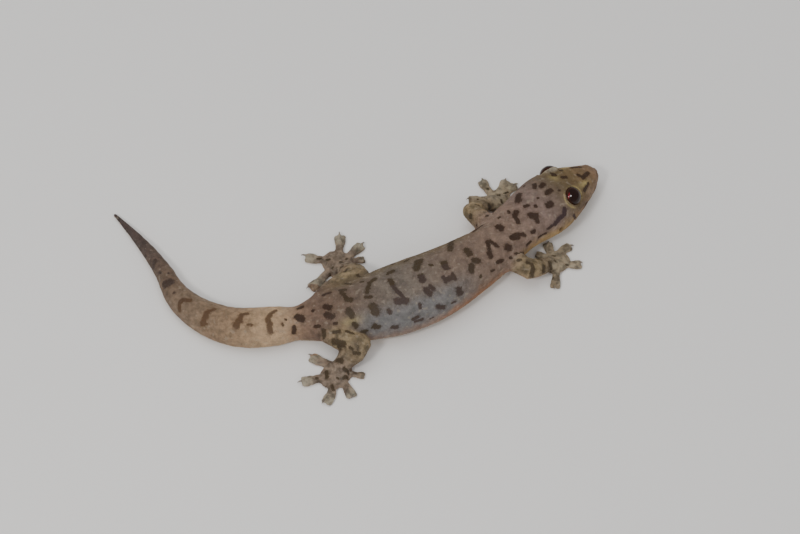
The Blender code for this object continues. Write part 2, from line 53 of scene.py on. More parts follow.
# Line of the spine on the floor plane, from the snout to the tip of the tail.
SPINE = np.array([
    (31.1, 17.0), (26.1, 12.6), (22.7, 9.2), (17.4, 4.2), (14.3, 1.1), (10.1, -2.1),
    (4.6, -5.7), (-4.3, -9.5), (-12.3, -11.1), (-17.8, -12.0), (-25.4, -12.2),
    (-30.7, -9.9), (-34.3, -6.5), (-36.8, -1.7), (-42.2, 6.2), (-44.9, 9.5),
])
# Distance from the snout, half width, height of the back, height of the underside.
PROFILE = np.array([
    (0.3, 0.95, 3.15, 1.50), (1.2, 1.66, 3.80, 1.00), (2.6, 2.52, 4.60, 0.75),
    (4.6, 3.42, 5.50, 0.60), (7.0, 4.15, 6.30, 0.55), (9.0, 4.60, 6.75, 0.60),
    (11.5, 4.85, 7.00, 0.75), (14.5, 4.72, 7.00, 0.95), (17.5, 4.35, 6.95, 1.00),
    (21.0, 4.15, 6.85, 0.50), (25.0, 4.30, 6.95, 0.05), (30.0, 4.90, 7.20, -0.15),
    (36.0, 5.60, 7.50, -0.25), (42.0, 5.55, 7.50, -0.25), (47.0, 4.85, 6.95, -0.15),
    (51.0, 4.20, 6.10, -0.12), (54.0, 3.35, 5.15, -0.10), (56.5, 2.60, 4.45, -0.08),
    (59.2, 3.05, 4.30, -0.12), (63.0, 3.22, 4.25, -0.15), (68.0, 2.95, 4.00, -0.15),
    (74.0, 2.30, 3.60, -0.12), (80.0, 1.55, 2.90, -0.10), (87.0, 1.00, 2.00, -0.08),
    (92.5, 0.52, 1.20, -0.05), (96.1, 0.22, 0.60, 0.00),
])
WAIST_PART = 0.42
UPPER_POWER = 2.15
LOWER_POWER = 2.5
SNOUT_TIP = 0.12
SNOUT_ROUND = 0.55
TAIL_TIP = 96.5
TAIL_ROUND = 0.5

MOUTH_CORNER = 9.6
MOUTH_FRONT = 2.1
MOUTH_BACK = 2.55

# Eyes, 1 being the left one and -1 the right one: the head is turned and rolled a little, so their
# places and lines of sight differ. Then their height, and the radius of the ball and of its lids.
EYE_BEHIND = {1: 7.5, -1: 8.1}
EYE_OUT = {1: 2.75, -1: 2.4}
EYE_UP = 5.0
EYE_RADIUS = 1.61
LID_REACH = 1.66
GAZE_UP = {1: math.radians(10.0), -1: math.radians(50.0)}
GAZE_FORWARD = {1: math.radians(14.0), -1: math.radians(-12.0)}

# Nostril and ear opening: distance behind the snout and height, half length and half height, depth.
Hole = namedtuple("Hole", "behind height long tall deep")
NOSTRIL = Hole(0.95, 3.10, 0.22, 0.20, 0.42)
EAR = Hole(12.7, 3.3, 0.34, 0.52, 0.70)

# A digit: heading and reach of its root from the middle of the palm, of its pad from the root and
# of the claw's tip from the pad, then the half width and half length of the pad.
Digit = namedtuple("Digit", "root_turn root_reach pad_turn pad_reach claw_turn claw_reach half long")
SLIM_SECTIONS = ((0.95, 0.10, 0.92), (0.90, 0.08, 0.84), (0.74, 0.04, 0.76), (0.82, 0.0, 0.70))
PALM_CORE = 0.1
# Each of a pad's two lobes: part of the pad's length ahead of its middle, offset from the middle
# line, half width and half height; the first three are in half lengths and half widths.
LOBE_SECTIONS = ((-0.75, 0.16, 0.52, 0.30), (-0.1, 0.36, 0.62, 0.33), (0.55, 0.50, 0.52, 0.27))
LOBE_ENDS = 2.8
# The joint under a claw, and the claw: part of the way from the pad's middle to the claw's tip,
# height and radius.
SLIM_JOINT = ((-0.35, 0.42, 0.28), (0.30, 0.62, 0.26), (0.68, 0.70, 0.20))
CLAW = ((0.62, 0.69, 0.15), (0.78, 0.70, 0.14), (0.90, 0.56, 0.09), (0.98, 0.30, 0.03))

# Limbs: shoulder or hip, elbow or knee, wrist or ankle, middle of the palm; then the thickness
# of the upper and the lower length as (part of the length, half width, half height), and the
# half width and half length of the palm.
THIGH = ((0.0, 1.5, 1.5), (0.3, 2.15, 1.9), (0.65, 2.3, 2.0), (1.0, 1.85, 1.6))
SHANK = ((0.0, 1.85, 1.6), (0.35, 2.05, 1.6), (0.75, 1.65, 1.2), (1.0, 1.35, 1.0))
LIMBS = {
    "arm_left": {
        "nodes": ("upper_arm_left", "forearm_left", "hand_left"),
        "points": ((14.4, 4.6, 3.9), (11.2, 8.3, 3.2), (13.9, 11.2, 1.25), (15.4, 12.4, 0.55)),
        "upper": ((0.0, 2.0, 1.9), (0.45, 1.75, 1.7), (1.0, 1.35, 1.35)),
        "lower": ((0.0, 1.35, 1.35), (0.35, 1.35, 1.3), (0.75, 1.1, 1.0), (1.0, 1.0, 0.88)),
        "palm": (1.65, 1.55),
        "digits": (
            Digit(-1, 1.0, 0, 1.35, 0, 0.0, 0.58, 0.75),
            Digit(49, 1.35, 47, 2.0, 35, 1.38, 0.80, 1.1),
            Digit(83, 1.4, 61, 1.9, 72, 1.34, 0.82, 1.15),
            Digit(126, 1.2, 121, 2.5, 108, 1.30, 0.82, 1.15),
            Digit(172, 1.2, 179, 2.35, 176, 1.33, 0.82, 1.15),
        ),
    },
    "arm_right": {
        "nodes": ("upper_arm_right", "forearm_right", "hand_right"),
        "points": ((15.6, 0.2, 3.8), (20.0, -2.6, 3.2), (23.3, -0.4, 1.25), (24.5, 0.5, 0.55)),
        "upper": ((0.0, 2.0, 1.9), (0.45, 1.8, 1.75), (1.0, 1.5, 1.5)),
        "lower": ((0.0, 1.5, 1.5), (0.35, 1.5, 1.45), (0.75, 1.2, 1.1), (1.0, 1.05, 0.9)),
        "palm": (1.6, 1.42),
        "digits": (
            Digit(137, 1.2, 158, 1.9, 156, 0.0, 0.58, 0.75),
            Digit(117, 1.35, 109, 1.75, 93, 1.2, 0.80, 1.1),
            Digit(83, 1.5, 45, 1.75, 23, 1.45, 0.80, 1.1),
            Digit(-10, 0.9, -4, 2.0, 15, 1.2, 0.80, 1.1),
            Digit(-95, 1.3, -94, 2.35, -104, 1.3, 0.82, 1.15),
        ),
    },
    "leg_left": {
        "nodes": ("thigh_left", "shank_left", "foot_left"),
        "points": ((-12.9, -9.3, 3.2), (-6.5, -4.2, 3.3), (-8.6, -1.3, 1.35), (-9.6, 0.1, 0.6)),
        "upper": THIGH,
        "lower": SHANK,
        "palm": (2.05, 1.85),
        "digits": (
            Digit(17, 1.6, 16, 1.95, 5, 0.0, 0.62, 0.85),
            Digit(44, 1.7, 49, 2.5, 45, 1.7, 0.88, 1.3),
            Digit(90, 1.6, 87, 2.9, 94, 1.86, 0.90, 1.4),
            Digit(152, 1.5, 169, 2.75, 161, 2.0, 0.90, 1.4),
            Digit(-141, 1.5, -131, 3.5, -152, 1.7, 0.90, 1.45),
        ),
    },
    "leg_right": {
        "nodes": ("thigh_right", "shank_right", "foot_right"),
        "points": ((-13.2, -12.3, 3.2), (-6.3, -16.3, 3.3), (-8.7, -18.7, 1.35), (-9.7, -19.9, 0.6)),
        "upper": THIGH,
        "lower": SHANK,
        "palm": (2.0, 1.75),
        "digits": (
            Digit(2, 1.6, -8, 2.0, -6, 0.0, 0.62, 0.85),
            Digit(-54, 1.6, -60, 2.1, -71, 1.4, 0.88, 1.3),
            Digit(-102, 1.6, -104, 2.75, -136, 1.6, 0.90, 1.35),
            Digit(-160, 1.35, -166, 2.9, -167, 1.9, 0.90, 1.4),
            Digit(121, 1.5, 150, 2.5, 146, 1.75, 0.90, 1.4),
        ),
    },
}
PALM_RISE = ((0.35, 0.78, 0.82), (0.70, 0.92, 0.70), (1.0, 1.0, 0.60))
PALM_FRONT = ((0.35, 0.93, 0.54), (0.65, 0.74, 0.48))
WEB_WIDE = 1.12
WEB_HIGH = 0.26
WEB_ENDS = (-0.3, 0.4)
TRUNK_NODES = ("head", "neck", "torso", "tail_base", "tail_middle", "tail_tip")

# Fineness of the skin, how often it is smoothed after it is joined, and its triangles when done.
SKIN_VOXEL = 0.14
JOIN_SMOOTHING = 6
CREASE_SMOOTHING = 60
SKIN_TRIANGLES = 194000
# Where the skin keeps its finest faces: the head as far back as this, the feet as far from the palm
# and as high as this, and every face that doesn't look further down than this.
FINE_HEAD = 14.3
FINE_FOOT = 7.5
FINE_HEIGHT = 1.7
UNDERSIDE = -0.15
FINE_WEIGHT = 0.02


def smooth(knots, values, x):
    """Rows of values at each x, on the smooth curve that passes through them at the knots."""
    steps = np.diff(knots)[:, None]
    chords = np.diff(values, axis=0) / steps
    inner = (chords[:-1] * steps[1:] + chords[1:] * steps[:-1]) / (steps[:-1] + steps[1:])
    slopes = np.concatenate([chords[:1], inner, chords[-1:]])
    i = np.clip(np.searchsorted(knots, x) - 1, 0, len(steps) - 1)
    t = ((x - knots[i])[:, None]) / steps[i]
    rise = values[i + 1] - values[i]
    first, last = slopes[i] * steps[i], slopes[i + 1] * steps[i]
    return (values[i] + t * first + t * t * (3.0 * rise - 2.0 * first - last)
            + t ** 3 * (first + last - 2.0 * rise))


def lengths_along(points):
    """Distance of each point along a line of points."""
    return np.concatenate([[0.0], np.cumsum(np.linalg.norm(np.diff(points, axis=0), axis=1))])


def unit(rows):
    return rows / np.linalg.norm(rows, axis=-1, keepdims=True)


def fade(x, start, end):
    """0 before start, 1 after end, and smooth in between."""
    t = np.clip((x - start) / (end - start), 0.0, 1.0)
    return t * t * (3.0 - 2.0 * t)


def bell(x, centre, reach):
    return np.exp(-((x - centre) / reach) ** 2)


def stretch(x, start, full, last, end):
    """1 from full to last, and fading to 0 towards start and end."""
    return fade(x, start, full) * fade(-x, -end, -last)


def lumps(points, scale):
    """Smooth noise at each point, its waves the shorter the larger the scale."""
    return np.array([noise.noise(Vector(point) * scale) for point in points])


SPINE_KNOTS = lengths_along(SPINE)
SPINE_STEP = 0.5
POINTS_AT_ONCE = 4000


def spine_frame(behind):
    """Points on the spine and the directions backwards and to the animal's left."""
    here = smooth(SPINE_KNOTS, SPINE, behind)
    step = smooth(SPINE_KNOTS, SPINE, behind + SPINE_STEP) - smooth(SPINE_KNOTS, SPINE, behind - SPINE_STEP)
    back = unit(step)
    return here, back, np.stack([back[:, 1], -back[:, 0]], axis=1)


def on_body(behind, left, height):
    """Points given by distance behind the snout, to the left of the spine and above the floor."""
    behind = np.atleast_1d(np.asarray(behind, float))
    here, _, side = spine_frame(behind)
    flat = here + side * np.broadcast_to(left, behind.shape)[:, None]
    return np.column_stack([flat, np.broadcast_to(height, behind.shape)])


def body_size(behind):
    """Half width, back height, underside height and height of the widest part."""
    inside = np.clip(np.atleast_1d(behind), PROFILE[0, 0], PROFILE[-1, 0])
    half, top, bottom = smooth(PROFILE[:, 0], PROFILE[:, 1:], inside).T
    return half, top, bottom, bottom + WAIST_PART * (top - bottom)


def flank(behind, height):
    """Half width of the body at one height above the floor."""
    half, top, bottom, waist = body_size(behind)
    above = np.clip((height - waist) / (top - waist), 0.0, 1.0)
    below = np.clip((waist - height) / (waist - bottom), 0.0, 1.0)
    upper = (1.0 - above ** UPPER_POWER) ** (1.0 / UPPER_POWER)
    lower = (1.0 - below ** LOWER_POWER) ** (1.0 / LOWER_POWER)
    return half * np.where(height > waist, upper, lower)


def mouth_height(behind):
    """Height of the line between the lips."""
    return MOUTH_FRONT + (MOUTH_BACK - MOUTH_FRONT) * np.clip(behind / MOUTH_CORNER, 0.0, 1.0) ** 2


def stretched(segments, rings, place):
    """Closed surface: a ball whose points move to place(part of the length, angle round)."""
    bm = bmesh.new()
    bmesh.ops.create_uvsphere(bm, u_segments=segments, v_segments=rings, radius=1.0)
    points = np.array([vert.co for vert in bm.verts])
    part = (1.0 - np.clip(points[:, 2], -1.0, 1.0)) / 2.0
    angle = np.arctan2(points[:, 1], points[:, 0])
    for vert, point in zip(bm.verts, place(part, angle)):
        vert.co = point
    bmesh.ops.recalc_face_normals(bm, faces=bm.faces)
    return bm


def trunk_surface():
    """Head, neck, torso and tail in one closed surface."""
    def place(part, angle):
        behind = SNOUT_TIP + (TAIL_TIP - SNOUT_TIP) * part
        half, top, bottom, waist = body_size(behind)
        front = np.clip((SNOUT_TIP + SNOUT_ROUND - behind) / SNOUT_ROUND, 0.0, 1.0)
        rear = np.clip((behind - TAIL_TIP + TAIL_ROUND) / TAIL_ROUND, 0.0, 1.0)
        dome = np.sqrt(1.0 - np.maximum(front, rear) ** 2)
        across, up = np.cos(angle), np.sin(angle)
        power = np.where(up > 0.0, UPPER_POWER, LOWER_POWER)
        reach = np.where(up > 0.0, top - waist, waist - bottom)
        left = dome * half * np.sign(across) * np.abs(across) ** (2.0 / power)
        height = waist + dome * reach * np.sign(up) * np.abs(up) ** (2.0 / power)
        return on_body(behind, left, np.maximum(0.0, height))
    return stretched(88, 420, place)


def swept(points, wide, high, segments, rings, squareness=1.0, ends=2.0):
    """Closed round body along points, with its half width and half height at each of them."""
    points = np.array(points, float)
    knots = lengths_along(points)
    table = np.column_stack([points, wide, high])
    length, before, after = knots[-1], wide[0], wide[-1]
    step = length * 0.02

    def place(part, angle):
        reach = -before + (length + before + after) * part
        at = np.clip(reach, 0.0, length)
        rows = smooth(knots, table, at)
        along = unit(smooth(knots, points, at + step) - smooth(knots, points, at - step))
        over = np.clip(np.maximum(-reach / before, (reach - length) / after), 0.0, 1.0)
        dome = (1.0 - over ** ends) ** (1.0 / ends)
        side = unit(np.cross(along, (0.0, 0.0, 1.0)))
        up = np.cross(side, along)
        across, above = np.cos(angle), np.sin(angle)
        out = rows[:, 3] * dome * np.sign(across) * np.abs(across) ** squareness
        rise = rows[:, 4] * dome * np.sign(above) * np.abs(above) ** squareness
        centre = rows[:, :3] + along * (reach - at)[:, None]
        moved = centre + side * out[:, None] + up * rise[:, None]
        moved[:, 2] = np.maximum(0.0, moved[:, 2])
        return moved
    return stretched(segments, rings, place)


def heading(degrees):
    return np.array([math.cos(math.radians(degrees)), math.sin(math.radians(degrees))])


def limb_length(start, end, sizes):
    """Rounded length of a limb between two points."""
    start, end = np.array(start), np.array(end)
    rows = np.array(sizes)
    points = start + (end - start) * rows[:, :1]
    return swept(points, rows[:, 1], rows[:, 2], 32, 48)


def digit_line(palm, digit):
    """Points along a digit, how far its pad's middle lies along it, and the pad's middle."""
    root = palm + heading(digit.root_turn) * digit.root_reach
    pad = root + heading(digit.pad_turn) * digit.pad_reach
    end = pad + heading((digit.pad_turn + digit.claw_turn) / 2.0) * digit.long
    way = np.array([palm, root, pad, end])
    return way, lengths_along(way), pad


def claw_line(pad, digit, sections):
    """Points and radii between the middle of a pad and the tip of its claw."""
    line = heading(digit.claw_turn) * digit.claw_reach
    points = [(*(pad + line * part), height) for part, height, _ in sections]
    return points, np.array([radius for _, _, radius in sections])


def digit_surfaces(palm, digit):
    """Slim root of a digit, the two lobes of its pad and the slim joint that bears its claw."""
    way, knots, pad = digit_line(palm, digit)
    start = knots[2] - digit.long * 0.4
    places = [PALM_CORE, knots[1], (knots[1] + start) / 2.0, start]
    rows = np.array([(place, *section) for place, section in zip(places, SLIM_SECTIONS)])
    points = np.column_stack([smooth(knots, way, rows[:, 0]), (rows[:, 2] + rows[:, 3]) / 2.0])
    surfaces = [swept(points, digit.half * rows[:, 1], (rows[:, 3] - rows[:, 2]) / 2.0, 24, 40, 0.85)]
    ahead = unit(way[3] - way[2])
    side = np.array([ahead[1], -ahead[0]])
    lobe = np.array(LOBE_SECTIONS)
    for hand in (-1.0, 1.0):
        flat = pad + ahead * digit.long * lobe[:, :1] + side * hand * digit.half * lobe[:, 1:2]
        line = np.column_stack([flat, lobe[:, 3]])
        surfaces.append(swept(line, digit.half * lobe[:, 2], lobe[:, 3], 20, 28, 0.9, LOBE_ENDS))
    if digit.claw_reach > 0.0:
        points, radii = claw_line(pad, digit, SLIM_JOINT)
        surfaces.append(swept(points, radii, radii, 16, 20))
    return surfaces


def limb_surfaces(limb):
    """Both lengths of a limb, its palm or sole, and its five digits."""
    root, joint, wrist, palm = (np.array(point) for point in limb["points"])
    surfaces = [limb_length(root, joint, limb["upper"]), limb_length(joint, wrist, limb["lower"])]
    palm_half, palm_long = limb["palm"]
    _, wrist_half, wrist_high = limb["lower"][-1]
    ahead = unit((palm - wrist) * (1.0, 1.0, 0.0))
    points, wide, high = [wrist], [wrist_half], [wrist_high]
    for part, width, height in PALM_RISE:
        points.append(wrist + (palm - wrist) * part)
        wide.append(palm_half * width)
        high.append(height)
    for part, width, height in PALM_FRONT:
        points.append(palm + ahead * palm_long * part)
        wide.append(palm_half * width)
        high.append(height)
    wide[-1] = palm_half * 0.5
    surfaces.append(swept(points, np.array(wide), np.array(high), 32, 48))
    web = [(*(palm + ahead * palm_long * end)[:2], WEB_HIGH) for end in WEB_ENDS]
    surfaces.append(swept(web, np.full(2, palm_half * WEB_WIDE), np.full(2, WEB_HIGH), 32, 24))
    for digit in limb["digits"]:
        surfaces += digit_surfaces(palm[:2], digit)
    return surfaces


def gaze(side):
    """Direction in which an eye looks; side is 1 for the left eye and -1 for the right."""
    _, back, left = spine_frame(np.array([EYE_BEHIND[side]]))
    up, forward = GAZE_UP[side], GAZE_FORWARD[side]
    flat = left[0] * side * math.cos(forward) - back[0] * math.sin(forward)
    return Vector((*(flat * math.cos(up)), math.sin(up)))


def eye_centre(side):
    return Vector(on_body(EYE_BEHIND[side], side * EYE_OUT[side], EYE_UP)[0])


def eye_globe(side):
    """Closed swelling of the head round an eye, which the opening is cut into later."""
    bm = bmesh.new()
    bmesh.ops.create_uvsphere(bm, u_segments=48, v_segments=32, radius=LID_REACH)
    bmesh.ops.translate(bm, verts=bm.verts, vec=eye_centre(side))
    return bm


def joined(surfaces):
    """One mesh of several, each left as it is."""
    whole = bmesh.new()
    for bm in surfaces:
        part = bpy.data.meshes.new("part")
        bm.to_mesh(part)
        bm.free()
        whole.from_mesh(part)
        bpy.data.meshes.remove(part)
    mesh = bpy.data.meshes.new("joined")
    whole.to_mesh(mesh)
    whole.free()
    return mesh


def applied(obj):
    """Mesh of an object with its modifiers applied; the object is removed."""
    graph = bpy.context.evaluated_depsgraph_get()
    mesh = bpy.data.meshes.new_from_object(obj.evaluated_get(graph))
    bpy.data.objects.remove(obj)
    return mesh


def put(name, mesh):
    """Object of a mesh, in the scene, at the origin."""
    obj = bpy.data.objects.new(name, mesh)
    bpy.context.scene.collection.objects.link(obj)
    return obj


def fused(mesh, voxel):
    """One closed surface round everything in a mesh."""
    obj = put("fused", mesh)
    change = obj.modifiers.new("join", "REMESH")
    change.mode = "VOXEL"
    change.voxel_size = voxel
    return applied(obj)


def body_place(points):
    """Distance behind the snout, offset to the left, angle from the middle of the back, distance
    round the body from there, and how far out of the body's section each point lies, 1 being on
    it."""
    fine = np.arange(0.0, SPINE_KNOTS[-1] + SPINE_STEP, 0.1)
    here, back, left = spine_frame(fine)
    behind = np.empty(len(points))
    side = np.empty(len(points))
    for start in range(0, len(points), POINTS_AT_ONCE):
        now = slice(start, start + POINTS_AT_ONCE)
        some = points[now, :2]
        away = ((some[:, None, :] - here[None, :, :]) ** 2).sum(axis=2)
        k = away.argmin(axis=1)
        gap = some - here[k]
        behind[now] = fine[k] + (gap * back[k]).sum(axis=1)
        side[now] = (gap * left[k]).sum(axis=1)
    half, top, bottom, waist = body_size(behind)
    height = points[:, 2]
    reach = np.where(height > waist, top - waist, waist - bottom)
    power = np.where(height > waist, UPPER_POWER, LOWER_POWER)
    rise = (height - waist) / reach
    angle = np.arctan2(side / half, rise)
    out = (np.abs(side / half) ** power + np.abs(rise) ** power) ** (1.0 / power)
    around = angle * (half + top - waist) / 2.0
    return behind, side, angle, around, out


def rows_of(data, key):
    """The three numbers that each item of a mesh's data has under a key."""
    rows = np.empty(len(data) * 3)
    data.foreach_get(key, rows)
    return rows.reshape(-1, 3)


def mesh_arrays(mesh):
    """Places and outward directions of a mesh's vertices."""
    return rows_of(mesh.vertices, "co"), rows_of(mesh.vertex_normals, "vector")


def store(mesh, name, kind, rows):
    """Keep one value or one row of values of each vertex under a name."""
    key = {"FLOAT_VECTOR": "vector", "FLOAT_COLOR": "color"}.get(kind, "value")
    number = np.int32 if kind == "INT" else np.float32
    field = mesh.attributes.new(name, kind, "POINT")
    field.data.foreach_set(key, np.asarray(rows, number).ravel())


def set_points(mesh, points):
    mesh.vertices.foreach_set("co", points.astype(np.float32).ravel())
    mesh.update()


def relaxed(bm, verts, times, factor):
    for _ in range(times):
        bmesh.ops.smooth_vert(bm, verts=verts, factor=factor, use_axis_x=True, use_axis_y=True,
                              use_axis_z=True)


def fine_region(points, behind, out):
    """Which points lie where the skin stays fine: the head, the hands and the feet."""
    fine = (behind < FINE_HEAD) & (out < 1.6)
    for limb in LIMBS.values():
        palm = np.array(limb["points"][3])[:2]
        near = np.linalg.norm(points[:, :2] - palm, axis=1) < FINE_FOOT
        fine |= near & (points[:, 2] < FINE_HEIGHT) & (out > 1.12)
    return fine


def creases(points, behind, out):
    """Which points lie in the corner between the trunk and a limb, where the skin bridges it."""
    near = np.zeros(len(points), bool)
    for limb in LIMBS.values():
        root, joint = (np.array(point) for point in limb["points"][:2])
        middle = (root + joint) / 2.0
        near |= np.linalg.norm(points - middle, axis=1) < 4.6
    return near & (out < 1.45) & (points[:, 2] > 0.6) & (behind > 15.0)


def thinned(mesh, coarse, triangles):
    """Fewer faces where coarse is 1, so that the mesh has this many triangles."""
    obj = put("thinned", mesh)
    group = obj.vertex_groups.new(name="coarse")
    for weight in np.unique(coarse):
        group.add(np.flatnonzero(coarse == weight).tolist(), float(weight), "REPLACE")
    change = obj.modifiers.new("thin", "DECIMATE")
    change.ratio = triangles / (2.0 * len(mesh.polygons))
    change.vertex_group = "coarse"
    change.vertex_group_factor = 10.0
    return applied(obj)


def skin_mesh():
    """The whole skin, fused and smooth, finest on the head and the feet."""
    surfaces = [trunk_surface(), eye_globe(1), eye_globe(-1)]
    for limb in LIMBS.values():
        surfaces += limb_surfaces(limb)
    mesh = fused(joined(surfaces), SKIN_VOXEL)
    points, _ = mesh_arrays(mesh)
    behind, _, _, _, out = body_place(points)
    corner = creases(points, behind, out)
    bm = bmesh.new()
    bm.from_mesh(mesh)
    bm.verts.ensure_lookup_table()
    relaxed(bm, bm.verts, JOIN_SMOOTHING, 0.5)
    relaxed(bm, [bm.verts[k] for k in np.flatnonzero(corner)], CREASE_SMOOTHING, 0.5)
    bm.to_mesh(mesh)
    bm.free()
    _, normals = mesh_arrays(mesh)
    coarse = np.where(normals[:, 2] > UNDERSIDE, FINE_WEIGHT, 1.0)
    coarse[fine_region(points, behind, out)] = FINE_WEIGHT
    mesh = thinned(mesh, coarse, SKIN_TRIANGLES)
    mesh.shade_smooth()
    return mesh


# Swellings and hollows of the head and body: distance behind the snout, offset from the midline,
# height, how far each reaches along, across and up, and how far it pushes out.
Form = namedtuple("Form", "behind left height along across up push")
FORMS = (
    Form(3.6, 2.7, 3.9, 1.7, 1.2, 0.75, -0.28),
    Form(5.6, 1.9, 5.6, 1.1, 0.7, 0.7, 0.14),
    Form(3.4, 1.35, 4.9, 1.4, 0.6, 0.6, 0.12),
    Form(1.2, 1.0, 3.6, 0.7, 0.5, 0.5, 0.12),
    Form(6.6, 0.0, 6.2, 2.3, 0.95, 0.8, -0.30),
    Form(2.8, 0.0, 4.7, 1.3, 0.45, 0.8, -0.10),
    Form(10.4, 4.3, 4.4, 1.7, 1.3, 1.3, 0.22),
    Form(10.8, 4.3, 2.3, 2.2, 1.5, 0.9, 0.14),
    Form(9.6, 1.7, 6.8, 1.8, 1.0, 0.9, 0.10),
    Form(13.6, 0.0, 7.0, 1.8, 1.2, 1.0, -0.10),
    Form(16.3, 4.6, 3.6, 1.5, 1.4, 1.7, -0.28),
    Form(19.3, 3.9, 3.2, 1.0, 1.2, 1.4, -0.16),
    Form(22.6, 2.4, 6.5, 1.7, 1.0, 0.9, 0.16),
    Form(24.6, 4.4, 3.4, 1.2, 1.2, 1.6, -0.18),
    Form(34.0, 0.0, 7.3, 9.0, 0.7, 1.0, -0.10),
    Form(50.6, 1.8, 6.0, 1.6, 1.0, 1.0, 0.16),
    Form(53.5, 0.0, 5.1, 2.0, 0.8, 0.8, -0.10),
    Form(60.5, 2.9, 2.0, 2.5, 1.0, 1.2, 0.08),
)
LIP_HALF = 0.30
LIP_SWELL = 0.22
SOCKET_RADIUS = {1: 1.50, -1: 1.60}
SOCKET_EDGE = 0.08
SOCKET_FLOOR = 1.36
# Rim of the opening: distance out from its edge, width and height. Then the groove between the
# lips, the groove of the chin, and the rim of a nostril or ear.
RIM = (0.15, 0.12, 0.09)
GROOVE = (0.22, 0.11)
CHIN_GROOVE = (0.06, 1.2, 0.25)
HOLE_RIM = (0.07, 1.6, 0.35)
FLANK_FOLD = (2.0, 0.55, 0.14)
# Rings of the tail: distance from one to the next, and how far they stand out.
WHORL = 1.75
WHORL_PUSH = 0.05
# Uneven skin: height of the folds, then height and scale of the lumps and of the limbs' wrinkles.
FOLD_PUSH = 0.10
LUMP_PUSH, LUMP_SCALE = 0.07, 0.55
WRINKLE_PUSH, WRINKLE_SCALE = 0.09, 1.6

# Stretches of the body behind the snout: where each begins, is full, is last full and ends.
FLANK_FOLDED = (24.0, 29.0, 43.0, 48.0)
TAIL_RINGED = (57.0, 60.0, 90.0, 95.0)
BODY_GREEN = (20.0, 28.0, 48.0, 54.0)
BODY_BLUE = (27.0, 36.0, 45.0, 50.0)
THROAT_PALE = (7.0, 10.0, 20.0, 23.0)
MARKS_OLIVE = (24.0, 30.0, 48.0, 52.0)
MARKS_FADED = (27.0, 34.0, 42.0, 46.0)


def hole_distance(points, behind, side, hole):
    """Distance of each point from the middle of a nostril or ear, 1 being on its edge."""
    far = np.hypot((behind - hole.behind) / hole.long, (points[:, 2] - hole.height) / hole.tall)
    outer = np.abs(side) > 0.6 * flank(hole.behind, hole.height)
    return np.where(outer, far, 9.0)


def sculpt(mesh):
    """Head forms, mouth, nostrils, ears, folds of the flanks and rings of the tail."""
    points, normals = mesh_arrays(mesh)
    behind, side, _, _, out = body_place(points)
    height = points[:, 2]
    trunk = 1.0 - fade(out, 1.10, 1.25)
    push = np.zeros(len(points))
    away = np.abs(side)
    for form in FORMS:
        push += (form.push * bell(behind, form.behind, form.along) * bell(away, form.left, form.across)
                 * bell(height, form.height, form.up))

    line = mouth_height(behind)
    lips = fade(MOUTH_CORNER + 0.5 - behind, 0.0, 1.2)
    drop = height - line
    push += lips * (0.07 * bell(drop, LIP_HALF, LIP_SWELL) + 0.08 * bell(drop, -LIP_HALF, LIP_SWELL))
    depth, reach = GROOVE
    push -= lips * depth * bell(drop, 0.0, reach)
    chin = fade(line - height, 0.5, 1.0) * lips
    depth, place, reach = CHIN_GROOVE
    push -= depth * chin * bell(away, place, reach)

    rise, place, reach = HOLE_RIM
    for hole in (NOSTRIL, EAR):
        far = hole_distance(points, behind, side, hole)
        push -= hole.deep * np.exp(-far ** 3)
        push += rise * bell(far, place, reach)

    fold_height, fold_reach, fold_push = FLANK_FOLD
    along = stretch(behind, *FLANK_FOLDED)
    push += fold_push * along * bell(height, fold_height, fold_reach) * fade(away, 3.0, 4.2)
    ring = np.abs(np.sin(np.pi * behind / WHORL)) ** 0.6
    push += stretch(behind, *TAIL_RINGED) * WHORL_PUSH * (ring - 0.7)

    throat = bell(behind, 18.5, 3.0) * fade(away, 2.0, 3.6)
    groin = bell(behind, 46.0, 3.0) * fade(away, 2.5, 4.0)
    armpit = bell(behind, 26.0, 3.0) * fade(away, 3.0, 4.2)
    folds = throat + groin + armpit
    creased = np.array([noise.noise(Vector((b * 1.15, s * 0.35, h * 0.35))) for b, s, h in
                        zip(behind, side, height)])
    push += trunk * (FOLD_PUSH * folds * creased + LUMP_PUSH * lumps(points, LUMP_SCALE))
    push *= trunk

    for eye in (1, -1):
        centre, look = np.array(eye_centre(eye)), np.array(gaze(eye))
        gap = points - centre
        ahead = gap @ look
        ring = np.linalg.norm(gap - ahead[:, None] * look, axis=1)
        open_part = fade(SOCKET_RADIUS[eye] + SOCKET_EDGE - ring, 0.0, SOCKET_EDGE) * (ahead > 0.0)
        reach = np.linalg.norm(gap, axis=1)
        lid = (LID_REACH - reach) * fade(LID_REACH - reach, 0.0, 0.12) * (height > EYE_UP - 1.5)
        points += gap / reach[:, None] * (lid * (1.0 - open_part))[:, None]
        sunk = centre + gap * (SOCKET_FLOOR / np.maximum(reach, SOCKET_FLOOR))[:, None]
        points += (sunk - points) * open_part[:, None]
        push *= 1.0 - np.maximum(open_part, fade(LID_REACH + 0.2 - reach, 0.0, 0.2))
        rim_out, rim_reach, rim_push = RIM
        rim = bell(ring, SOCKET_RADIUS[eye] + rim_out, rim_reach)
        push += rim_push * rim * (ahead > -0.3) * (reach < 2.3)

    limb = 1.0 - trunk
    push += limb * WRINKLE_PUSH * lumps(points, WRINKLE_SCALE)
    moved = points + normals * push[:, None]
    moved[:, 2] = np.maximum(0.0, moved[:, 2])
    set_points(mesh, moved)


def tone(red, green, blue):
    """Linear colour of a screen colour in 0 to 255."""
    screen = np.array([red, green, blue]) / 255.0
    return np.where(screen <= 0.04045, screen / 12.92, ((screen + 0.055) / 1.055) ** 2.4)


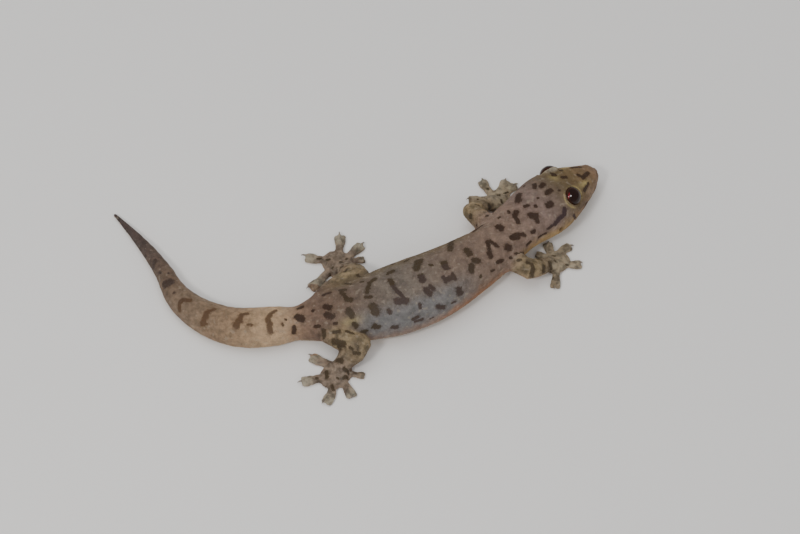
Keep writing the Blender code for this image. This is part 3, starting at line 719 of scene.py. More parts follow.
# Colour of the back along the body: distance behind the snout, screen colour.
BACK_TONES = (
    (0.0, (122, 96, 78)), (3.0, (124, 100, 73)), (8.0, (101, 85, 62)), (13.0, (123, 104, 94)),
    (18.0, (126, 105, 92)), (30.0, (118, 100, 87)), (41.0, (112, 101, 91)), (50.0, (111, 92, 78)),
    (55.5, (128, 104, 86)), (59.0, (174, 145, 115)), (66.0, (143, 118, 93)), (73.0, (125, 105, 86)),
    (79.0, (111, 92, 76)), (85.0, (90, 75, 66)), (96.5, (66, 54, 52)),
)
FLANK_GREEN = tone(102, 88, 63)
FLANK_BLUE = tone(114, 112, 111)
EDGE_ORANGE = tone(149, 103, 70)
THROAT_OCHRE = tone(170, 138, 88)
BELLY_CREAM = tone(186, 160, 132)
CHEEK_GREY = tone(112, 90, 73)
LIP_PALE = tone(150, 126, 104)
# Painted shade for the nostrils, the ear openings and the groove between the lips.
PAINTED_HOLLOW_SHADE = tone(44, 30, 24)
BROW_YELLOW = tone(176, 158, 104)
LIMB_OLIVE = tone(114, 98, 77)
KNEE_YELLOW = tone(136, 118, 88)
FOOT_GREY = tone(120, 104, 89)
HAND_PALE = tone(138, 124, 103)
PAD_PALE = tone(136, 126, 109)
PALM_PINK = tone(170, 140, 122)
SPOT_BROWN = tone(54, 36, 24)
SPOT_OLIVE = tone(66, 53, 36)
SPOT_FADED = tone(68, 54, 48)
SPOT_PURPLE = tone(58, 42, 44)
BAR_BROWN = tone(92, 68, 47)
BAR_GREY = tone(66, 52, 45)

# Dark marks: distance behind the snout and distance round the body from the middle of the back,
# at both ends of a mark, then its half width.
HEAD_MARKS = (
    (4.3, 1.4, 2.5, 0.8, 0.18), (4.1, -1.1, 2.4, -0.6, 0.32), (4.3, -0.3, 4.1, -1.1, 0.30),
    (5.4, -3.0, 3.7, -2.3, 0.32), (5.3, -5.5, 6.2, -5.6, 0.16), (6.9, 0.6, 6.4, 0.3, 0.27),
    (6.1, 1.8, 5.8, 1.6, 0.17), (7.8, 1.7, 7.5, 1.4, 0.25), (9.5, -0.9, 9.4, -1.0, 0.20),
    (10.0, -5.4, 9.6, -6.9, 0.26),
    (10.9, -3.5, 11.5, -4.2, 0.33), (11.5, -4.2, 12.7, -4.2, 0.33), (12.7, -4.2, 13.6, -4.5, 0.40),
    (13.6, -4.5, 14.9, -4.5, 0.27), (11.0, 1.2, 10.4, 1.3, 0.37), (11.3, 2.3, 11.8, 1.8, 0.36),
    (11.3, -0.1, 10.5, -0.2, 0.40), (12.4, 3.7, 12.2, 3.7, 0.20), (12.7, -1.6, 12.2, -1.7, 0.46),
    (13.0, 0.2, 12.9, 0.1, 0.18), (14.3, -0.5, 14.3, -0.6, 0.28), (14.4, 2.7, 15.5, 1.8, 0.52),
    (16.1, -1.2, 15.4, -1.7, 0.50), (15.6, -1.8, 15.9, -2.4, 0.40), (15.6, 0.4, 15.1, 0.2, 0.26),
    (16.8, -5.0, 15.5, -5.2, 0.26), (17.3, 0.5, 18.0, 0.2, 0.42), (18.1, -0.2, 18.5, -0.9, 0.34),
    (17.9, 1.5, 18.1, 1.2, 0.24), (17.7, -3.3, 17.2, -3.4, 0.30), (19.3, -2.6, 19.0, -3.0, 0.30),
    (20.3, -2.0, 19.3, -2.6, 0.33), (21.0, -2.2, 20.1, -2.7, 0.30), (21.2, -1.9, 20.3, -2.0, 0.30),
    (19.5, -4.7, 18.6, -4.5, 0.25), (19.8, 1.8, 19.6, 1.8, 0.20), (20.3, 4.1, 20.1, 3.9, 0.25),
)
BACK_MARKS = (
    (21.2, 0.6, 21.1, 0.2, 0.55), (22.1, -4.1, 20.7, -5.1, 0.17), (22.6, -2.7, 22.4, -2.9, 0.54),
    (24.4, 3.3, 22.4, 3.2, 0.36), (23.0, -4.3, 22.9, -4.2, 0.20), (24.0, -0.7, 23.7, -1.7, 0.30),
    (24.5, -0.3, 24.0, -0.5, 0.34), (24.6, -0.6, 25.0, -1.4, 0.30), (25.4, -1.9, 25.5, -2.4, 0.42),
    (24.9, -3.8, 24.2, -4.0, 0.34), (26.4, -4.5, 25.9, -4.6, 0.20), (28.1, -1.7, 27.6, -2.1, 0.44),
    (28.1, 0.3, 28.0, -0.4, 0.55), (28.4, -4.3, 28.4, -4.4, 0.28), (29.0, -2.2, 29.4, -2.8, 0.48),
    (30.0, 1.9, 28.9, 3.2, 0.50), (29.0, 3.4, 28.2, 3.9, 0.40), (32.4, 0.1, 32.5, -0.6, 0.56),
    (32.5, -4.5, 32.5, -5.0, 0.52), (33.7, -2.2, 32.4, -2.4, 0.42), (33.8, -1.7, 33.8, -2.5, 0.30),
    (32.3, -1.9, 32.3, -2.7, 0.28), (34.1, -6.0, 33.6, -6.1, 0.22), (34.5, 0.9, 34.2, 0.7, 0.20),
    (36.7, 1.3, 35.6, 2.2, 0.56), (36.0, 2.5, 35.0, 2.5, 0.34), (36.3, -5.4, 35.5, -6.1, 0.40),
    (36.7, -0.3, 36.8, -0.8, 0.55), (37.0, -2.4, 36.8, -3.1, 0.50), (36.2, -2.2, 36.0, -2.7, 0.36),
    (37.4, 3.8, 36.7, 3.9, 0.26), (37.7, -7.3, 37.3, -7.2, 0.20), (38.7, -4.1, 38.8, -4.5, 0.30),
    (39.9, -6.6, 38.9, -6.7, 0.30), (40.1, -6.0, 39.5, -5.9, 0.32), (41.3, 0.9, 41.3, -0.2, 0.42),
    (41.3, -0.2, 41.0, -1.4, 0.33), (40.9, -1.4, 40.6, -2.2, 0.30), (41.7, -2.5, 40.4, -2.9, 0.50),
    (41.1, 2.3, 40.1, 2.4, 0.34), (43.0, -6.3, 42.6, -6.5, 0.40), (43.1, -3.4, 43.0, -3.7, 0.36),
    (44.6, 1.7, 43.4, 2.1, 0.33), (45.4, 0.2, 44.5, 1.6, 0.34), (45.8, -0.5, 45.0, -0.7, 0.27),
    (45.2, -2.2, 44.9, -3.1, 0.62), (45.5, -5.2, 45.1, -5.5, 0.46), (45.7, 5.3, 44.9, 4.5, 0.26),
    (45.8, 2.5, 45.4, 2.4, 0.20), (47.4, -5.4, 46.6, -5.7, 0.27), (48.1, 3.6, 47.4, 2.9, 0.22),
    (48.2, -3.9, 47.9, -4.3, 0.34), (48.6, -1.8, 48.3, -2.5, 0.54), (48.7, 0.1, 48.0, -0.3, 0.40),
    (49.1, 1.3, 48.6, 0.2, 0.34), (49.3, 1.9, 48.5, 1.8, 0.30), (51.1, -3.0, 50.6, -3.1, 0.18),
    (51.3, -4.3, 50.7, -4.4, 0.22), (51.9, 2.0, 50.9, 2.0, 0.28), (52.0, -0.2, 51.3, -0.6, 0.44),
    (52.0, -1.5, 51.2, -2.0, 0.48), (53.9, -0.2, 53.8, -0.2, 0.22), (54.0, -2.6, 53.3, -2.7, 0.24),
    (53.0, -4.3, 52.9, -4.5, 0.24), (56.0, 1.0, 55.3, 1.1, 0.30), (56.3, -0.5, 55.6, -1.0, 0.52),
)
TAIL_MARKS = (
    (57.0, -1.9, 57.1, -2.8, 0.33), (58.2, -0.5, 58.1, -0.6, 0.17), (58.7, -1.1, 58.6, -1.4, 0.20),
    (59.5, 1.2, 60.3, 0.6, 0.30), (60.4, 0.5, 60.9, -0.2, 0.36), (60.7, -1.1, 60.5, -2.1, 0.40),
    (60.8, -0.2, 60.5, -1.1, 0.42), (63.7, -0.8, 63.2, -0.9, 0.20), (63.9, 1.0, 65.0, 0.7, 0.30),
    (64.9, 0.6, 64.9, -0.3, 0.42), (65.0, -0.2, 65.5, -0.9, 0.46), (65.5, -0.9, 65.2, -1.2, 0.34),
    (69.6, 0.6, 70.1, 0.0, 0.32), (69.9, -2.1, 69.5, -1.9, 0.20), (70.1, -1.4, 70.0, -2.1, 0.42),
    (70.2, -0.2, 70.1, -1.4, 0.42), (73.8, 0.1, 74.5, -0.4, 0.36), (74.7, -1.2, 74.1, -2.2, 0.30),
    (74.7, -0.6, 74.7, -1.2, 0.40), (76.7, -0.7, 76.6, -0.7, 0.24), (78.9, -1.1, 78.8, -0.1, 0.66),
    (80.6, 0.3, 80.5, 0.3, 0.20), (81.6, -1.0, 81.2, -0.8, 0.22), (83.9, -0.5, 83.4, -1.4, 0.36),
    (86.1, -1.4, 86.1, -1.4, 0.34),
)
# Dark marks of the limbs on the floor plan: both ends and the half width.
LIMB_MARKS = (
    (-10.0, -15.3, -9.2, -15.2, 0.28), (-11.6, -14.8, -11.5, -15.4, 0.30), (-10.1, -16.4, -9.5, -16.6, 0.32),
    (-9.3, -16.8, -8.5, -17.0, 0.36), (11.0, 6.8, 11.1, 6.6, 0.27), (14.0, 9.8, 14.1, 10.4, 0.18),
    (11.9, 8.9, 12.3, 8.9, 0.20), (12.3, 12.4, 12.6, 11.8, 0.16), (15.5, 13.0, 15.8, 13.0, 0.20),
    (13.9, 14.5, 14.0, 14.5, 0.20), (16.5, 13.5, 17.1, 13.9, 0.15), (16.0, 12.1, 16.1, 11.6, 0.16),
    (19.6, -2.4, 20.3, -2.6, 0.28), (20.3, -2.6, 20.6, -3.2, 0.31), (20.6, -3.2, 20.3, -3.8, 0.31),
    (22.3, -2.0, 22.2, -2.8, 0.26), (23.2, -0.7, 23.4, -1.6, 0.30), (23.9, 1.4, 24.2, 1.4, 0.20),
    (18.2, -2.1, 18.7, -2.0, 0.20), (21.3, -1.0, 21.6, -0.7, 0.24), (24.1, 0.1, 24.2, 0.0, 0.16),
    (23.8, -2.4, 23.8, -2.4, 0.16), (25.9, 0.0, 26.2, -0.1, 0.16), (-8.5, -4.0, -8.2, -3.2, 0.22),
    (-9.3, -0.1, -8.9, -0.4, 0.22), (-8.4, 0.6, -8.3, 0.9, 0.20), (-10.5, -1.0, -10.5, -1.0, 0.22),
    (-9.2, -1.7, -8.9, -1.7, 0.20), (-10.1, -6.8, -9.6, -6.5, 0.20), (-11.4, 0.8, -11.0, 0.8, 0.20),
    (-12.9, 1.1, -12.4, 1.1, 0.18), (-10.9, -1.8, -10.9, -1.8, 0.18), (-9.6, -18.5, -8.8, -18.9, 0.32),
    (-8.5, -19.8, -8.0, -20.1, 0.27), (-8.6, -21.0, -8.1, -20.8, 0.27), (-9.5, -21.0, -9.4, -21.1, 0.18),
    (-11.2, -19.9, -11.1, -20.8, 0.30), (-12.7, -20.8, -12.6, -20.9, 0.22),
    (-10.3, -22.2, -10.1, -22.9, 0.24),
    (-7.0, -18.3, -6.1, -18.3, 0.20), (-7.6, -17.5, -7.2, -17.8, 0.18), (-8.2, -15.2, -7.0, -15.6, 0.18),
)

# The left flank, which is out of sight, repeats the right one's low marks: those further round than
# this, moved this far back and this far down.
LOW_MARK = 3.9
LEFT_BACK = 0.6
LEFT_DOWN = 0.6


def left_flank(marks):
    """The low marks of the right flank, carried over to the left one."""
    return tuple((first + LEFT_BACK, LEFT_DOWN - first_round, last + LEFT_BACK, LEFT_DOWN - last_round, half)
                 for first, first_round, last, last_round, half in marks
                 if max(first_round, last_round) < -LOW_MARK)


def nearest_mark(x, y, marks):
    """Distance of each point from the line of its nearest mark, in half widths of that mark."""
    best = np.full(len(x), 9.0)
    for x1, y1, x2, y2, half in marks:
        dx, dy = x2 - x1, y2 - y1
        long = max(dx * dx + dy * dy, 1e-9)
        t = np.clip(((x - x1) * dx + (y - y1) * dy) / long, 0.0, 1.0)
        far = np.hypot(x - x1 - t * dx, y - y1 - t * dy)
        best = np.minimum(best, far / half)
    return best


def mixed(first, second, part):
    return first + (second - first) * np.asarray(part)[..., None]


def limb_place(points):
    """For each point its nearest limb: part of the way from the root to the palm, 0 to 1, and the
    distance from the middle of the palm."""
    way = np.zeros(len(points))
    palm_far = np.full(len(points), 99.0)
    best = np.full(len(points), 99.0)
    for limb in LIMBS.values():
        line = np.array(limb["points"])
        knots = lengths_along(line)
        for k in range(3):
            step = line[k + 1] - line[k]
            t = np.clip(((points - line[k]) @ step) / (step @ step), 0.0, 1.0)
            far = np.linalg.norm(points - line[k] - t[:, None] * step, axis=1)
            at = (knots[k] + t * (knots[k + 1] - knots[k])) / knots[-1]
            way = np.where(far < best, at, way)
            best = np.minimum(best, far)
        palm_far = np.minimum(palm_far, np.linalg.norm(points[:, :2] - line[3, :2], axis=1))
    return way, palm_far


def eye_distance(points):
    """How far each point lies outside the opening of its nearer eye."""
    far = np.full(len(points), 9.0)
    for eye in (1, -1):
        centre, look = np.array(eye_centre(eye)), np.array(gaze(eye))
        gap = points - centre
        ahead = gap @ look
        ring = np.linalg.norm(gap - ahead[:, None] * look, axis=1)
        far = np.where((ahead > 0.0) & (ring < 2.6), ring - SOCKET_RADIUS[eye], far)
    return far


def ground_colour(points, normals, behind, side, angle, around, out):
    """Colour of the skin between the marks, with painted shade in the nostrils, the ears and the groove
    between the lips.
    """
    stops = np.array([stop for stop, _ in BACK_TONES])
    tones = np.array([tone(*colour) for _, colour in BACK_TONES])
    turn = np.degrees(np.abs(angle))
    ragged = turn + 9.0 * lumps(points, 0.9)
    right = side < 0.0
    away = np.abs(around)
    height, seam = points[:, 2], mouth_height(behind)
    body = stretch(behind, *BODY_GREEN)
    orange = 0.75 - 0.40 * fade(behind, 31.0, 41.0)
    head = fade(-behind, -11.0, -7.0)
    rim = bell(eye_distance(points), RIM[0] - 0.04, 0.10)
    ends = fade(np.abs(behind - EYE_BEHIND[-1]), 0.7, 1.5)
    # Each colour that is laid over the back's, and how strong it is at each point.
    washes = [
        (FLANK_GREEN, 0.7 * body * fade(turn, 22.0, 50.0) * ~right),
        (FLANK_BLUE, 0.85 * stretch(behind, *BODY_BLUE) * fade(turn, 20.0, 50.0) * right),
        (EDGE_ORANGE, orange * body * fade(ragged, 72.0, 100.0)),
        (THROAT_OCHRE, 0.75 * stretch(behind, *THROAT_PALE) * fade(ragged, 62.0, 96.0)),
        (CHEEK_GREY, 0.6 * head * fade(ragged, 50.0, 75.0)),
        (LIP_PALE, 0.45 * (bell(behind, 4.0, 1.5) * bell(away, 3.6, 0.7))),
        (LIP_PALE, 0.7 * (head * bell(height, seam + 0.35, 0.45) * fade(ragged, 40.0, 60.0))),
        (BROW_YELLOW, 0.85 * (bell(behind, 4.6, 1.1) * bell(away, 2.0, 0.40))),
        (BROW_YELLOW, rim * (0.15 + 0.60 * ends)),
        (BROW_YELLOW, 0.45 * (bell(behind, 8.0, 0.7) * bell(around, 1.3, 0.6))),
        (BELLY_CREAM, 0.9 * fade(ragged, 100.0, 132.0)),
        (BROW_YELLOW, 0.45 * (bell(behind, 48.6, 1.5) * bell(around, -3.4, 0.7))),
    ]
    # Painted shade: nostrils and ear openings darkened inside, where shade falls.
    for hole in (NOSTRIL, EAR):
        far = hole_distance(points, behind, side, hole)
        washes.append((PAINTED_HOLLOW_SHADE, 0.9 * (1.0 - fade(far, 0.7, 1.3))))
    # Painted shade: a dark line along the groove between the lips.
    washes.append((PAINTED_HOLLOW_SHADE, 0.7 * (head * bell(height, seam, 0.07) * (np.abs(out - 1.0) < 0.15))))
    ground = smooth(stops, tones, np.clip(behind, 0.0, stops[-1]))
    for colour, part in washes:
        ground = mixed(ground, colour, part)

    way, palm_far = limb_place(points)
    limb = mixed(np.tile(LIMB_OLIVE, (len(points), 1)), KNEE_YELLOW, 0.65 * bell(way, 0.48, 0.14))
    foot = fade(way, 0.72, 0.92)
    front = (points[:, 0] > 5.0)[:, None]
    limb = mixed(limb, np.where(front, HAND_PALE, FOOT_GREY), foot)
    limb = mixed(limb, PAD_PALE, foot * fade(palm_far, 2.8, 4.8))
    limb = mixed(limb, PALM_PINK, fade(-normals[:, 2], 0.2, 0.7))
    on_limb = fade(out, 1.06, 1.22)
    return mixed(ground, limb, on_limb * fade(way, 0.08, 0.36)), on_limb


def mark_colour(behind, side, around, on_limb):
    """Colour of the marks, which fade from dark brown on the head to grey on the tail."""
    dark = np.tile(SPOT_BROWN, (len(behind), 1))
    dark = mixed(dark, SPOT_OLIVE, stretch(behind, *MARKS_OLIVE))
    dark = mixed(dark, SPOT_FADED, stretch(behind, *MARKS_FADED) * (side < 0.0))
    dark = mixed(dark, BAR_BROWN, fade(behind, 57.5, 59.5))
    dark = mixed(dark, BAR_GREY, fade(behind, 73.0, 78.0))
    dark = mixed(dark, SPOT_PURPLE, bell(behind, 12.0, 3.4) * fade(-around, 2.6, 3.4))
    return mixed(dark, SPOT_OLIVE, on_limb)


def paint(mesh, points, normals, repeat=1):
    """Store the ground colour, the colour of the marks and how near the nearest mark is."""
    behind, side, angle, around, out = body_place(points)
    ground, on_limb = ground_colour(points, normals, behind, side, angle, around, out)
    dark = mark_colour(behind, side, around, on_limb)
    seen = HEAD_MARKS + BACK_MARKS + TAIL_MARKS
    trunk_marks = nearest_mark(behind, around, seen + left_flank(seen))
    limb_marks = nearest_mark(points[:, 0], points[:, 1], LIMB_MARKS)
    limb_marks = np.where(normals[:, 2] > -0.1, limb_marks, 9.0)
    marks = np.clip(np.where(on_limb > 0.5, limb_marks, trunk_marks), 0.0, 3.0)

    for name, rows in (("ground", ground), ("dark", dark)):
        full = np.column_stack([rows, np.ones(len(rows))])
        store(mesh, name, "FLOAT_COLOR", np.repeat(full, repeat, axis=0))
    mottle = on_limb * 0.75 + (1.0 - on_limb) * (0.30 + 0.10 * fade(behind, 57.0, 66.0))
    for name, values in (("marks", marks), ("mottle", mottle)):
        store(mesh, name, "FLOAT", np.repeat(values, repeat))


def to_frame(points):
    """Points of the plan, moved to the frame's origin and turned into metres."""
    return (points - ORIGIN) * MM


class Graph:
    """Short way to lay out a material's nodes."""

    def __init__(self, name):
        self.material = bpy.data.materials.new(name)
        self.material.use_nodes = True
        self.tree = self.material.node_tree
        self.shader = self.tree.nodes["Principled BSDF"]

    def add(self, kind, settings=None, **inputs):
        made = self.tree.nodes.new(kind)
        for key, value in (settings or {}).items():
            setattr(made, key, value)
        for key, value in inputs.items():
            self.feed(made.inputs[key.replace("_", " ")], value)
        return made

    def feed(self, socket, value):
        if isinstance(value, bpy.types.NodeSocket):
            self.tree.links.new(value, socket)
        else:
            socket.default_value = value

    def set(self, **inputs):
        for key, value in inputs.items():
            self.feed(self.shader.inputs[key.replace("_", " ")], value)

    def math(self, operation, first, second=0.0):
        made = self.add("ShaderNodeMath", {"operation": operation})
        self.feed(made.inputs[0], first)
        self.feed(made.inputs[1], second)
        return made.outputs[0]

    def mix(self, part, first, second, blend="MIX"):
        made = self.add("ShaderNodeMix", {"data_type": "RGBA", "blend_type": blend})
        self.feed(made.inputs[0], part)
        self.feed(made.inputs[6], first)
        self.feed(made.inputs[7], second)
        return made.outputs[2]

    def squares(self, first, second):
        """Sum of the squares of two values."""
        parts = [self.math("POWER", self.math("ABSOLUTE", value), 2.0) for value in (first, second)]
        return self.math("ADD", *parts)

    def span(self, value, low, high, start=0.0, end=1.0):
        made = self.add("ShaderNodeMapRange", {"interpolation_type": "SMOOTHSTEP"},
                        Value=value, From_Min=low, From_Max=high, To_Min=start, To_Max=end)
        return made.outputs[0]

    def attribute(self, name):
        return self.add("ShaderNodeAttribute", {"attribute_name": name})

    def noise(self, place, scale, detail=2.0, roughness=0.5):
        return self.add("ShaderNodeTexNoise", None, Vector=place, Scale=scale, Detail=detail,
                        Roughness=roughness)


PALE_FLECK = (0.42, 0.34, 0.25, 1.0)


def skin_material():
    """Fine granular skin: mottled ground, dark marks with ragged edges, a low sheen."""
    g = Graph("gecko_skin")
    place = g.add("ShaderNodeTexCoord").outputs["Object"]
    ground = g.attribute("ground").outputs["Color"]
    dark = g.attribute("dark").outputs["Color"]
    marks = g.attribute("marks").outputs["Fac"]

    blotch = g.noise(place, 620.0, 3.0).outputs["Fac"]
    fleck = g.noise(place, 2600.0, 2.0, 0.6).outputs["Fac"]
    grain = g.add("ShaderNodeTexVoronoi", {"feature": "F1"}, Vector=place, Scale=4200.0)
    cell = g.add("ShaderNodeSeparateColor", None, Color=grain.outputs["Color"]).outputs[0]

    patch = g.noise(place, 1150.0, 2.0, 0.55).outputs["Fac"]
    blotch = g.span(blotch, 0.32, 0.68, -0.25, 0.30)
    uneven = g.math("ADD", blotch, g.span(patch, 0.34, 0.66, -0.40, 0.55))
    uneven = g.math("MULTIPLY", uneven, g.attribute("mottle").outputs["Fac"])
    shade = g.math("ADD", uneven, g.span(fleck, 0.3, 0.7, 0.90, 1.10))
    shade = g.math("ADD", shade, g.span(cell, 0.0, 1.0, -0.07, 0.07))
    value = g.add("ShaderNodeCombineColor", None, Red=shade, Green=shade, Blue=shade).outputs[0]
    tinted = g.mix(1.0, ground, value, "MULTIPLY")
    pale = g.noise(place, 1500.0, 1.0, 0.4).outputs["Fac"]
    tinted = g.mix(g.span(pale, 0.60, 0.74, 0.0, 0.30), tinted, PALE_FLECK)

    ragged = g.noise(place, 2200.0, 3.0, 0.6).outputs["Fac"]
    edge = g.math("ADD", marks, g.span(ragged, 0.25, 0.75, -0.26, 0.26))
    edge = g.math("ADD", edge, g.span(cell, 0.0, 1.0, -0.08, 0.08))
    covered = g.span(edge, 0.74, 1.30, 0.94, 0.0)
    halo = g.span(edge, 1.1, 2.2, 0.14, 0.0)
    tinted = g.mix(halo, tinted, dark)
    spotted = g.mix(covered, tinted, dark)
    g.set(Base_Color=spotted)

    g.set(Roughness=g.span(fleck, 0.3, 0.7, 0.50, 0.68))
    g.shader.inputs["Subsurface Weight"].default_value = 0.16
    g.shader.inputs["Subsurface Radius"].default_value = (1.0, 0.45, 0.28)
    g.shader.inputs["Subsurface Scale"].default_value = 0.0006
    g.shader.inputs["Specular IOR Level"].default_value = 0.25

    grains = g.math("MULTIPLY", grain.outputs["Distance"], -1.0)
    bumps = g.math("ADD", grains, g.math("MULTIPLY", fleck, 0.25))
    bump = g.add("ShaderNodeBump", None, Strength=0.35, Distance=0.00004, Height=bumps)
    g.set(Normal=bump.outputs[0])
    return g.material


# Painted reflection in the eye: a red streak that stands for the flash's red glow from inside the pupil. How
# far the ball's own axes are turned to lie along it, its offset, and how strong it is in the left eye and in
# the right one.
RED_REFLEX_TURN = math.radians(37.4)
RED_REFLEX_ACROSS = -0.57
RED_REFLEX_STRENGTH = {1: 0.0, -1: 1.0}
PAINTED_RED_REFLEX = (0.22, 0.010, 0.022, 1.0)
PUPIL_BLACK = (0.016, 0.006, 0.004, 1.0)
IRIS_BROWN = (0.046, 0.017, 0.008, 1.0)
IRIS_DARK = (0.024, 0.009, 0.005, 1.0)
HORN_DARK = (0.10, 0.075, 0.055, 1.0)
HORN_PALE = (0.20, 0.16, 0.12, 1.0)
BOARD_PALE = (0.80, 0.79, 0.77, 1.0)


def eye_material():
    """Dark, wet eye: near-black wide pupil, dark brown iris and a narrow red streak, a painted reflection of
    the flash's glow from inside the pupil.
    """
    g = Graph("eye_cornea")
    place = g.attribute("eye_place").outputs["Vector"]
    split = g.add("ShaderNodeSeparateXYZ", None, Vector=place)
    wide = g.math("DIVIDE", split.outputs[0], 0.52)
    tall = g.math("DIVIDE", split.outputs[1], 0.80)
    oval = g.math("SQRT", g.squares(wide, tall))
    veins = g.noise(place, 9.0, 4.0, 0.7).outputs["Fac"]
    ragged = g.math("ADD", oval, g.span(veins, 0.3, 0.7, -0.06, 0.06))
    iris = g.mix(g.span(veins, 0.35, 0.65), IRIS_BROWN, IRIS_DARK)
    colour = g.mix(g.span(ragged, 0.94, 1.06, 1.0, 0.0), iris, PUPIL_BLACK)
    # Painted reflection: the flash's red glow from inside the pupil, painted as a streak at a fixed place on
    # the ball.
    turned = g.add("ShaderNodeVectorRotate", {"rotation_type": "Z_AXIS"}, Vector=place, Angle=RED_REFLEX_TURN)
    streak = g.add("ShaderNodeSeparateXYZ", None, Vector=turned.outputs[0])
    reflex_across = g.math("DIVIDE", g.math("SUBTRACT", streak.outputs[0], RED_REFLEX_ACROSS), 0.06)
    reflex_up = g.math("DIVIDE", streak.outputs[1], 0.34)
    painted_reflex = g.span(g.squares(reflex_across, reflex_up), 0.2, 1.4, 1.0, 0.0)
    painted_reflex = g.math("MULTIPLY", painted_reflex, g.attribute("painted_reflex").outputs["Fac"])
    colour = g.mix(painted_reflex, colour, PAINTED_RED_REFLEX)
    g.set(Base_Color=colour)
    g.shader.inputs["Roughness"].default_value = 0.5
    g.shader.inputs["Specular IOR Level"].default_value = 0.0
    g.shader.inputs["Coat Weight"].default_value = 0.85
    g.shader.inputs["Coat Roughness"].default_value = 0.03
    g.shader.inputs["Coat IOR"].default_value = 1.38
    return g.material


def claw_material():
    g = Graph("claw_horn")
    place = g.add("ShaderNodeTexCoord").outputs["Object"]
    streaks = g.noise(place, 3000.0, 3.0).outputs["Fac"]
    g.set(Base_Color=g.mix(g.span(streaks, 0.3, 0.7), HORN_DARK, HORN_PALE))
    g.shader.inputs["Roughness"].default_value = 0.32
    return g.material


def floor_material():
    g = Graph("floor_board")
    g.set(Base_Color=BOARD_PALE)
    g.shader.inputs["Roughness"].default_value = 0.75
    return g.material


def finish(name, mesh, points, material, slot, *nodes):
    """Make a piece of a mesh: move it to the frame, give it its material, let it ride on the model, and hide
    the solids that it stands for."""
    set_points(mesh, to_frame(points))
    mesh.shade_smooth()
    mesh.materials.append(material)
    obj = put(name, mesh)
    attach(obj, "root")
    if nodes:
        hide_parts(*nodes)


def make_skin(material):
    mesh = skin_mesh()
    sculpt(mesh)
    points, normals = mesh_arrays(mesh)
    paint(mesh, points, normals)
    plan = mesh.copy()
    make_lips(plan, material)
    make_scales(plan, material)
    print("skin", len(mesh.polygons), "faces")
    nodes = TRUNK_NODES + tuple(node for limb in LIMBS.values() for node in limb["nodes"])
    finish("skin", mesh, points, material, "body_skin", *nodes)


def scattered(skin, kind, spacing, seed):
    """Places and outward directions of scales, a spacing apart, on one kind of the skin's faces."""
    tree = bpy.data.node_groups.new("scatter", "GeometryNodeTree")
    tree.interface.new_socket("Geometry", in_out="INPUT", socket_type="NodeSocketGeometry")
    tree.interface.new_socket("Geometry", in_out="OUTPUT", socket_type="NodeSocketGeometry")
    start = tree.nodes.new("NodeGroupInput")
    end = tree.nodes.new("NodeGroupOutput")
    region = tree.nodes.new("GeometryNodeInputNamedAttribute")
    region.data_type = "INT"
    region.inputs[0].default_value = "scale_kind"
    same = tree.nodes.new("FunctionNodeCompare")
    same.data_type = "INT"
    same.operation = "EQUAL"
    same.inputs[3].default_value = kind
    scatter = tree.nodes.new("GeometryNodeDistributePointsOnFaces")
    scatter.distribute_method = "POISSON"
    scatter.inputs["Distance Min"].default_value = spacing
    scatter.inputs["Density Max"].default_value = 7.0 / spacing ** 2
    scatter.inputs["Seed"].default_value = seed
    keep = tree.nodes.new("GeometryNodeStoreNamedAttribute")
    keep.data_type = "FLOAT_VECTOR"
    keep.inputs["Name"].default_value = "outward"
    turn = tree.nodes.new("GeometryNodePointsToVertices")
    link = tree.links.new
    link(region.outputs[0], same.inputs[2])
    link(start.outputs[0], scatter.inputs["Mesh"])
    link(same.outputs[0], scatter.inputs["Selection"])
    link(scatter.outputs["Points"], keep.inputs["Geometry"])
    link(scatter.outputs["Normal"], keep.inputs["Value"])
    link(keep.outputs[0], turn.inputs[0])
    link(turn.outputs[0], end.inputs[0])
    obj = put("scatter", skin.copy())
    obj.modifiers.new("scatter", "NODES").node_group = tree
    cloud = applied(obj)
    points = rows_of(cloud.vertices, "co")
    outward = unit(rows_of(cloud.attributes["outward"].data, "vector"))
    bpy.data.meshes.remove(cloud)
    bpy.data.node_groups.remove(tree)
    return points, outward


def scale_form():
    """Corners and faces of one scale, a ball of few faces that each scale stretches."""
    bm = bmesh.new()
    bmesh.ops.create_icosphere(bm, subdivisions=1, radius=1.0)
    corners = np.array([vert.co for vert in bm.verts])
    faces = np.array([[vert.index for vert in face.verts] for face in bm.faces])
    bm.free()
    return corners, faces


def unwrap(points, normals, behind, angle, on_limb):
    """Place of each root on a flat map of the skin: the trunk cut along the belly and rolled out,
    and the upper and lower sides of the limbs beside it."""
    trunk = np.column_stack([0.01 + behind * 0.01, 0.05 + 0.40 * (angle / (2.0 * np.pi) + 0.5)])
    under = normals[:, 2] < 0.0
    limb = np.column_stack([0.22 + points[:, 0] * 0.008 + 0.5 * under, 0.73 + points[:, 1] * 0.008])
    return np.where(on_limb[:, None] > 0.5, limb, trunk)


